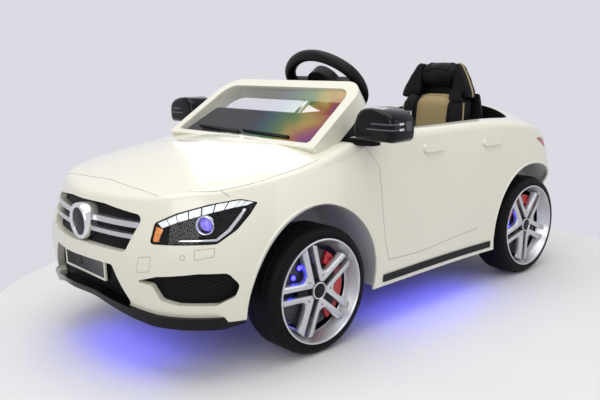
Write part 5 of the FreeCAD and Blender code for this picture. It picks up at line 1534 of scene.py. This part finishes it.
@dataclass
class CornerLamp:
    """What shows inside a headlamp, drawn square to the lamp's lean and set behind its lens."""

    cells: int = 9
    top: Tuple[Pair, ...] = ((-62.6, 186.0), (-27.7, 201.0), (18.5, 213.0), (61.8, 219.0), (83.4, 213.5))
    under: Tuple[Pair, ...] = ((-54.2, 179.0), (-24.7, 190.0), (18.5, 201.0), (53.9, 208.0), (73.6, 210.0))
    turning: Tuple[Pair, ...] = ((-68.5, 157.5), (-64.0, 181.0), (-51.3, 177.0), (-55.2, 168.0),
                                 (-58.1, 157.5))
    guide: Tuple[Pair, ...] = ((-24.7, 158.5), (36.2, 157.5), (53.9, 171.0), (66.7, 190.0), (73.6, 204.0),
                               (69.6, 205.0), (62.8, 194.0), (50.0, 175.0), (34.3, 161.0), (-24.7, 160.6))
    projector_at: Pair = (14.6, 182.0)
    projector_depth: float = 13.0
    projector_steps: int = 48

    def build(self) -> None:
        """Makes the light cells, turn lamp, guide and projector, and fits them on both sides."""
        cells = [self.behind_lens("cell", cell, 5.0, 2.5) for cell in self.cell_outlines()]
        pieces = [(Bench.join("running_cells", cells), "clear_lens", RUNNING_LIGHT),
                  (self.behind_lens("turn_lamp", self.turning, 5.0, 2.0), "bright_trim", TURN_AMBER),
                  (self.behind_lens("light_guide", self.guide, 6.0, 2.0), "bright_trim", CHROME)]
        pieces += self.projector()
        for piece, slot, finish in pieces:
            Bench.round(piece, 0.4 * MM)
            fit_both(piece, piece.name, slot, finish)

    def cell_outlines(self) -> List[List[Pair]]:
        """Corners of each light cell between the strip's upper and lower line.

        Returns:
            Each cell's corners as run across and rise over the sill.
        """
        outlines = []
        for index in range(self.cells):
            start, end = (index + 0.04) / self.cells, (index + 0.94) / self.cells
            corners = ((self.top, start), (self.top, end), (self.under, end), (self.under, start))
            outlines.append([self.along(line, share) for line, share in corners])
        return outlines

    @staticmethod
    def along(line: Sequence[Pair], share: float) -> Pair:
        """The point at a share of a line's length in steps of its corners.

        Args:
            line: The line's corners.
            share: The share, from 0 to 1.

        Returns:
            The point.
        """
        run = share * (len(line) - 1)
        index = min(int(run), len(line) - 2)
        one, two = Vector(line[index]), Vector(line[index + 1])
        return tuple(one.lerp(two, run - index))

    @staticmethod
    def behind_lens(name: str, outline: Sequence[Pair], depth: float, thickness: float) -> Piece:
        """A flat shape pressed onto the lens from outside and set back behind it.

        Args:
            name: The piece's name.
            outline: Corners as run across and rise over the sill.
            depth: How far behind the lens's face it lies, in millimetres.
            thickness: Its thickness in millimetres.

        Returns:
            The left piece.
        """
        piece = Bench.trace(name, [mm(across, rise, 0.0) for across, rise in outline])
        Bench.edit(piece)
        bpy.ops.mesh.quads_convert_to_tris()
        bpy.ops.mesh.subdivide(number_cuts=2)
        Bench.rest()
        piece.matrix_world = Corner.FRONT.axes()
        bpy.context.view_layer.update()
        Bench.apply(piece, "SHRINKWRAP", target=frame["nodes"]["headlamp_lenses"], wrap_method="PROJECT",
                    use_project_z=True, use_positive_direction=False, use_negative_direction=True,
                    offset=-depth * MM)
        Bench.settle(piece)
        Bench.apply(piece, "SOLIDIFY", thickness=thickness * MM, offset=0.0)
        Bench.close(piece)
        return piece

    def projector(self) -> List[Tuple[Piece, str, Finish]]:
        """The round projector: bright bezel and blue glass ball.

        Returns:
            Piece, slot and finish of each part.
        """
        place = Corner.FRONT.axes()
        axis = place.to_3x3() @ Vector((0.0, 0.0, 1.0))
        start = place @ Vector(mm(*self.projector_at, 0.0))
        hit = frame["nodes"]["headlamp_lenses"].ray_cast(start, -axis)
        turn = Vector((1.0, 0.0, 0.0)).rotation_difference(axis).to_matrix().to_4x4()
        turn.translation = hit[1] - axis * self.projector_depth * MM
        bezel = ((-9.0, 12.2), (3.0, 13.0), (5.4, 13.8), (6.0, 15.2), (5.0, 16.4), (-9.0, 17.0),
                 (-9.0, 12.2))
        glass = ((4.0, 0.0), (3.2, 4.5), (1.0, 8.5), (-2.6, 11.4), (-6.0, 12.6))
        made = []
        for name, line, slot, finish in (("projector_bezel", bezel, "bright_trim", CHROME),
                                         ("projector_glass", glass, "clear_lens", BLUE_GLASS)):
            piece = Bench.move(Bench.lathe(name, line, self.projector_steps), turn)
            made.append((piece, slot, finish))
        return made


# Mirrors

@dataclass
class Mirror:
    """A rounded mirror housing with two slits of dark chrome, bright chrome on their outer ends as a painted
    highlight, and a smoked end lens.
    """

    front: float = -158.0
    back: float = -98.0
    outline: Tuple[Pair, ...] = ((276.0, 383.0), (268.5, 391.0), (268.0, 404.0), (270.0, 418.0),
                                 (275.5, 431.0), (284.0, 440.0), (296.0, 444.5), (312.0, 445.0),
                                 (332.0, 443.0), (350.0, 438.5), (362.0, 430.5), (367.5, 420.0),
                                 (368.0, 400.0), (366.0, 389.0), (360.0, 383.5))
    crown: float = 15.0
    glass_rim: float = 4.5
    glass_step: float = 1.0
    glass_sink: float = 2.0
    slits: Tuple[Box, ...] = (((316.0, -170.0, 416.2), (380.0, -123.0, 418.6)),
                              ((306.0, -170.0, 406.0), (380.0, -123.0, 408.4)))
    # Boxes of the painted highlight: bright chrome laid over the slits' outer ends.
    slit_highlights: Tuple[Box, ...] = (((340.0, -140.0, 415.4), (380.0, -128.0, 419.4)),
                                  ((340.0, -140.0, 405.2), (380.0, -128.0, 409.2)))
    end_lens: Tuple[Box, ...] = (((340.0, -121.0, 404.0), (380.0, -106.0, 421.0)),)

    def build(self) -> None:
        """Makes the left housing, its slits with their painted highlights and its lens, and copies them to
        the right.
        """
        housing = self.housing()
        pieces = ((housing, "mirror_housing", "gloss_black", GLOSS_BLACK),
                  (self.bands(housing, self.slits, 0.7), "mirror_slits", "bright_trim", DARK_CHROME),
                  # The slits' outer ends in bright chrome over dark chrome are a painted highlight.
                  (self.bands(housing, self.slit_highlights, 1.3), "mirror_slit_highlights", "bright_trim", CHROME),
                  (self.bands(housing, self.end_lens, 0.9), "mirror_end_lens", "gloss_black", SMOKED_LENS))
        for piece, name, slot, finish in pieces:
            for side in Side:
                node = f"{side.label}_{name}"
                twin = Bench.move(Bench.copy(piece, node + "_dressed"), side.mirror())
                Bench.smooth(twin)
                fit(twin, f"{side.label}_mirror", slot, finish,
                    stands_for=[node] if node in frame["nodes"] else [])
            bpy.data.objects.remove(piece)

    def housing(self) -> Piece:
        """The housing: its outline pulled forward, domed at the front and sunk at the back for the glass.

        Returns:
            The left housing.
        """
        housing = Bench.trace("housing", [mm(x, self.back, z) for x, z in self.outline])
        Bench.pull(housing, mm(0.0, self.front - self.back, 0.0))
        Bench.bevel_edges(housing, lambda one, two: max(one.y, two.y) < MM * (self.front + 0.1),
                          MM * self.crown, 6)
        Bench.pick_faces(housing, lambda face: face.normal.y > SQUARE_ON)
        bpy.ops.mesh.inset(thickness=self.glass_rim * MM, depth=0.0)
        bpy.ops.mesh.inset(thickness=self.glass_step * MM, depth=-self.glass_sink * MM)
        bpy.ops.object.mode_set(mode="OBJECT")
        Bench.round(housing, 0.6 * MM)
        return housing

    @staticmethod
    def bands(housing: Piece, boxes: Sequence[Box], proud: float) -> Piece:
        """Raised bands of the housing's own surface inside boxes.

        Args:
            housing: The housing.
            boxes: Low and high corner of each box, in millimetres.
            proud: How far the bands stand out, in millimetres.

        Returns:
            The bands as one piece.
        """
        made = []
        for low, high in boxes:
            band = Bench.copy(housing, "band")
            thickness = proud + 1.0
            Bench.apply(band, "SOLIDIFY", thickness=thickness * MM, offset=2 * proud / thickness - 1.0)
            cutter = Bench.block("band_box", mm(*low), mm(*high))
            Bench.apply(band, "BOOLEAN", operation="INTERSECT", object=cutter, solver="EXACT")
            bpy.data.objects.remove(cutter)
            made.append(band)
        return Bench.join("bands", made)


# Seat

@dataclass
class Seat:
    """Padded seat: back with a sewn panel, cushion, headrest, piping and shoulder straps."""

    foot: Point = (0.0, 438.0, 219.3)
    lean: float = 9.0
    back_length: float = 222.0
    back_depth: float = 42.0
    panel_half: float = SEAT_PANEL.panel_half
    panel_top: float = SEAT_PANEL.panel_top
    panel_corner: float = SEAT_PANEL.panel_corner
    rest_seam: float = 44.0
    voxel: float = 4.5
    shrink: float = 3.0
    swell: float = 7.0
    pressure: float = 4.0
    frames: int = 20
    seam_depth: float = 3.6
    seam_half: float = 5.0
    clear_of_pad: float = 120.0
    strap_x: float = 68.0
    strap_width: float = 30.0
    strap_strips: int = 6
    strap_thickness: float = 2.2
    strap_over: Tuple[Pair, ...] = ((38.0, 0.0), (24.0, 6.0), (6.0, 6.5), (-9.0, 5.0), (-10.5, -10.0),
                                    (-10.5, -40.0), (-10.5, -66.0))
    wing: Tuple[Pair, ...] = ((52.0, 204.0), (117.0, 198.0), (112.0, 218.0), (102.0, 238.0), (90.0, 259.0),
                              (76.0, 280.0), (62.0, 293.0), (52.0, 290.0))
    wing_edge: Tuple[Pair, ...] = ((117.0, 204.0), (113.0, 220.0), (103.0, 240.0), (91.0, 261.0),
                                   (77.0, 281.0), (64.0, 293.0))
    wing_thickness: float = 30.0
    piping: float = 2.2
    side_piping: float = 118.0
    welt_half: float = 50.0
    welt_steps: int = 20

    def build(self) -> None:
        """Makes the pads, then what is sewn and laid on them."""
        back = self.pad("seat_back", lambda point: abs(self.panel_reach(point) - self.panel_corner))
        cushion = self.pad("seat_cushion", lambda point: abs(abs(point.x) - self.panel_half))
        rest = self.pad("seat_headrest", lambda point: abs(abs(point.x) - self.rest_seam))
        fit(back, "chassis", "seat_leather", SEAT_PANEL, stands_for=["seat_back"])
        fit(cushion, "chassis", "seat_leather", SEAT_BLACK, stands_for=["seat_cushion"])
        fit(rest, "chassis", "seat_leather", SEAT_BLACK, stands_for=["seat_headrest"])
        self.wings()
        self.sew_piping(back, cushion, rest)
        self.straps(back)

    def at(self, across: float, off: float, run: float) -> Vector:
        """The point across, off and up the leaning seat back, in metres.

        Args:
            across: Place across, in millimetres.
            off: Distance off the back's foot line, in millimetres.
            run: Place up the back, in millimetres.

        Returns:
            The point.
        """
        lean = math.radians(self.lean)
        up = Vector((0.0, math.sin(lean), math.cos(lean)))
        out = Vector((0.0, -math.cos(lean), math.sin(lean)))
        return (Vector(self.foot) + Vector((across, 0.0, 0.0)) + up * run + out * off) * MM

    def panel_reach(self, point: Vector) -> float:
        """Millimetres from the panel's inner lines, which is its corner's radius at its edge.

        Args:
            point: The point in millimetres.

        Returns:
            The distance.
        """
        aside = max(0.0, abs(point.x) - (self.panel_half - self.panel_corner))
        over = max(0.0, point.z - (self.panel_top - self.panel_corner))
        return math.hypot(aside, over)

    def pad(self, node: str, from_seam: Callable[[Vector], float]) -> Piece:
        """A stuffed pad in a node's place: remeshed, blown up as cloth, smoothed, its seams drawn in.

        Args:
            node: The node that it stands for.
            from_seam: Distance in millimetres of a point from the nearest seam.

        Returns:
            The pad.
        """
        pad = Bench.cast(node, node + "_pad")
        Bench.apply(pad, "DISPLACE", strength=-self.shrink * MM, mid_level=0.0)
        Bench.apply(pad, "REMESH", mode="VOXEL", voxel_size=self.voxel * MM)
        self.blow_up(pad)
        Bench.apply(pad, "SMOOTH", factor=0.5, iterations=4)
        Bench.apply(pad, "SUBSURF", levels=1, render_levels=1)
        self.draw_in(pad, from_seam)
        Bench.take(pad)
        bpy.ops.object.shade_smooth()
        return pad

    def wings(self) -> None:
        """Soft wings that lead from the headrest's sides down to the shoulders."""
        wing = Bench.trace("wing", [self.at(across, 4.0, run) for across, run in self.wing])
        Bench.pull(wing, self.at(0.0, self.wing_thickness, 0.0) - self.at(0.0, 0.0, 0.0))
        Bench.apply(wing, "REMESH", mode="VOXEL", voxel_size=self.voxel * MM)
        Bench.apply(wing, "SMOOTH", factor=0.5, iterations=10)
        Bench.apply(wing, "SUBSURF", levels=1, render_levels=1)
        edge = [self.at(across, 24.0, run) for across, run in self.wing_edge]
        band = Bench.welt("wing_piping", edge, wing, self.piping, 0.8)
        for pad in fit_both(wing, "headrest_wing", "seat_leather", SEAT_BLACK, PAD_ANGLE):
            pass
        fit_both(band, "wing_piping", "seat_leather", TAN_PIPING, PAD_ANGLE)

    def blow_up(self, pad: Piece) -> None:
        """Runs the cloth under pressure and caps how far each point went.

        Args:
            pad: The pad.
        """
        start = [vertex.co.copy() for vertex in pad.data.vertices]
        Bench.take(pad)
        cloth = pad.modifiers.new("stuffing", "CLOTH")
        cloth.settings.use_pressure = True
        cloth.settings.uniform_pressure_force = self.pressure
        cloth.settings.effector_weights.gravity = 0.0
        for step in range(1, self.frames + 1):
            bpy.context.scene.frame_set(step)
        bpy.ops.object.modifier_apply(modifier=cloth.name)
        bpy.context.scene.frame_set(1)
        for vertex, place in zip(pad.data.vertices, start):
            went = vertex.co - place
            if went.length > self.swell * MM:
                vertex.co = place + went.normalized() * self.swell * MM

    def draw_in(self, pad: Piece, from_seam: Callable[[Vector], float]) -> None:
        """Draws the surface in along the seams.

        Args:
            pad: The pad.
            from_seam: Distance in millimetres of a point from the nearest seam.
        """
        normals = [vertex.normal.copy() for vertex in pad.data.vertices]
        for vertex, normal in zip(pad.data.vertices, normals):
            away = from_seam(vertex.co / MM) / self.seam_half
            vertex.co -= normal * self.seam_depth * MM * math.exp(-away * away)

    def on_pad(self, pad: Piece, across: float, run: float, lift: float = 0.0) -> Vector:
        """The point on a leaning pad's front at a place across and up it.

        Args:
            pad: The pad.
            across: Place across, in millimetres.
            run: Place up the back, in millimetres.
            lift: Height above the surface, in millimetres.

        Returns:
            The point in metres.
        """
        inward = (self.at(0.0, 0.0, 0.0) - self.at(0.0, 1.0, 0.0)).normalized()
        hit = pad.ray_cast(self.at(across, self.clear_of_pad, run), inward)
        place = hit[1] if hit[0] else self.at(across, self.back_depth, run)
        return place - inward * lift * MM

    def sew_piping(self, back: Piece, cushion: Piece, rest: Piece) -> None:
        """Lays tan piping round the panel and along the pads' sides, and a welt on the headrest.

        Args:
            back: The back's pad.
            cushion: The cushion's pad.
            rest: The headrest's pad.
        """
        half = [(self.panel_half, run) for run in range(40, 190, 30)]
        half += [(self.panel_half, 206.0), (44.0, 216.0), (30.0, 219.0), (15.0, 219.5), (0.0, 219.5)]
        arch = half + [(-across, run) for across, run in half[-2::-1]]
        path = [self.on_pad(back, across, run) for across, run in arch]
        lines = [Bench.welt("panel_piping", path, back, self.piping * 0.7, 0.3)]
        low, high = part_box("seat_cushion")
        for sign in (-1, 1):
            path = [self.on_pad(back, sign * (self.side_piping - 0.06 * run), run)
                    for run in range(24, 215, 24)]
            lines.append(Bench.welt("side_piping", path, back, self.piping, 0.6))
            path = [Vector((sign * self.side_piping * MM, y, high.z))
                    for y in (low.y + 0.01, low.y + 0.06, high.y - 0.06, high.y - 0.01)]
            lines.append(Bench.welt("cushion_piping", path, cushion, self.piping, 0.6))
        fit(Bench.join("seat_piping", lines), "chassis", "seat_leather", TAN_PIPING)
        low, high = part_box("seat_headrest")
        middle, tall = (low.z + high.z) / 2, (high.z - low.z) / 2 - 0.010
        loop = []
        for step in range(self.welt_steps):
            turn = FULL_TURN * step / self.welt_steps
            loop.append(Vector((self.welt_half * MM * math.cos(turn), low.y - 0.01,
                                middle + tall * math.sin(turn))))
        welt = Bench.welt("headrest_welt", loop, rest, 1.1, 0.2, True)
        fit(welt, "chassis", "seat_leather", SEAT_BLACK)

    def straps(self, back: Piece) -> None:
        """Two flat shoulder straps down the back pad, over its top and behind it.

        Args:
            back: The back's pad.
        """
        strip = mm(self.strap_width / self.strap_strips, 0.0, 0.0)
        for side in Side:
            route = [self.on_pad(back, side.value * (94.0 - 0.12 * run), run, 1.5)
                     for run in range(22, 210, 22)]
            route += [self.at(self.strap_x * side.value, off, self.back_length + rise)
                      for off, rise in self.strap_over]
            route = [point - Vector((self.strap_width / 2 * MM, 0.0, 0.0)) for point in route]
            strap = Bench.path(f"{side.label}_shoulder_strap", route)
            Bench.edit(strap)
            for _ in range(self.strap_strips):
                bpy.ops.mesh.extrude_region_move(TRANSFORM_OT_translate={"value": strip})
            Bench.close(strap)
            Bench.apply(strap, "SHRINKWRAP", target=back, wrap_method="NEAREST_SURFACEPOINT",
                        wrap_mode="OUTSIDE_SURFACE", offset=1.3 * MM)
            Bench.apply(strap, "SMOOTH", factor=0.5, iterations=3)
            Bench.apply(strap, "SOLIDIFY", thickness=self.strap_thickness * MM, offset=0.0)
            Bench.close(strap)
            Bench.round(strap, 0.5 * MM)
            fit(strap, "chassis", "webbing", STRAP_BLACK,
                stands_for=["harness_straps"] if side is Side.LEFT else [])


# Studio

@dataclass
class Studio:
    """Floor, backdrop, lights and the photograph's camera."""

    camera_at: Point = (1.2019, -1.1228, 0.5469)
    azimuth: float = 48.31
    elevation: float = 11.64
    roll: float = -1.17
    lens: float = 43.04
    stand_at: Pair = (0.082, 0.037)
    stand_radius: float = 0.844
    stand_height: float = 0.03
    light: Colour = (0.47, 0.47, 0.48, 1.0)
    sky: Colour = (0.71, 0.705, 0.77, 1.0)
    sensor: float = 36.0

    def build(self) -> None:
        """Makes the stage, the lights and the camera."""
        self.backdrop()
        self.floor()
        self.lights()
        self.camera()
        view = bpy.context.scene.view_settings
        view.view_transform = "Standard"

    def backdrop(self) -> None:
        """A world that is pale lavender grey where it is seen and plain grey as light."""
        world = bpy.data.worlds.new("studio")
        bpy.context.scene.world = world
        world.use_nodes = True
        graph = Graph(world.node_tree)
        back = world.node_tree.nodes["Background"]
        path = graph.add("LightPath")
        seen = path.outputs["Is Camera Ray"]
        for ray in ("Is Transmission Ray", "Is Glossy Ray"):
            seen = graph.math("MAXIMUM", seen, path.outputs[ray])
        graph.join(graph.mix(seen, self.light, self.sky), back.inputs["Color"])

    def floor(self) -> None:
        """A white round stand with a rounded edge."""
        Bench.rest()
        bpy.ops.mesh.primitive_cylinder_add(vertices=160, radius=self.stand_radius, depth=self.stand_height,
                                            location=(*self.stand_at, -self.stand_height / 2))
        stand = bpy.context.object
        stand.name = "stand"
        Bench.settle(stand)
        Bench.round(stand, 4.0 * MM, 3)
        paint(stand, STAND_WHITE)

    def lights(self) -> None:
        """Soft lamps above, in front and behind."""
        lamps = (("top", (0.1, -0.3, 2.6), (0.0, 0.0, 0.2), 2.6, 42.0),
                 ("front", (1.3, -2.4, 1.5), (0.0, -0.2, 0.2), 1.6, 18.0),
                 ("side", (2.4, 1.2, 1.2), (0.0, 0.2, 0.2), 1.6, 8.0),
                 ("back", (-2.0, 1.6, 1.6), (0.0, 0.0, 0.3), 1.6, 10.0))
        for name, place, target, size, power in lamps:
            lamp = bpy.data.lights.new(name, "AREA")
            lamp.size = size
            lamp.energy = power
            holder = bpy.data.objects.new(name, lamp)
            bpy.context.scene.collection.objects.link(holder)
            holder.location = place
            aim = Vector(target) - Vector(place)
            holder.rotation_euler = aim.to_track_quat("-Z", "Y").to_euler()

    def camera(self) -> None:
        """The camera at the photograph's place, turn and lens."""
        camera = bpy.data.cameras.new("photo_view")
        camera.lens = self.lens
        camera.sensor_width = self.sensor
        camera.sensor_fit = "HORIZONTAL"
        holder = bpy.data.objects.new("photo_view", camera)
        bpy.context.scene.collection.objects.link(holder)
        turn, rise, roll = (math.radians(angle) for angle in (self.azimuth, self.elevation, self.roll))
        back = Vector((math.sin(turn) * math.cos(rise), -math.cos(turn) * math.cos(rise), math.sin(rise)))
        right = Vector((math.cos(turn), math.sin(turn), 0.0))
        up = back.cross(right)
        across = math.cos(roll) * right + math.sin(roll) * up
        over = -math.sin(roll) * right + math.cos(roll) * up
        matrix = Matrix((across, over, back)).transposed().to_4x4()
        matrix.translation = Vector(self.camera_at)
        holder.matrix_world = matrix
        bpy.context.scene.camera = holder


def dress_nodes() -> None:
    """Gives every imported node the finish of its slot."""
    for name, node in frame["nodes"].items():
        slot = slot_of(name)
        paint(node, NODE_FINISH.get(name, SLOT_FINISH[slot]))
        LOG.info("node %s takes %s", name, slot)


def slot_of(name: str) -> str:
    """The material slot that the record gives a node."""
    rows = {row["node"]: row["material_slot"] for row in frame["record"]["subparts"]}
    return rows[name]


def main() -> None:
    """Builds the studio and dresses the car."""
    logging.basicConfig(level=logging.INFO)
    Studio().build()
    dress_nodes()
    Wheel().build()
    for piece in (BodySeams(), HandleCup(), ArchLip(), FrontTrim(), CornerLamp(), TailLamp(), Mirror(),
                  Seat()):
        piece.build()


if __name__ == "__main__":
    main()
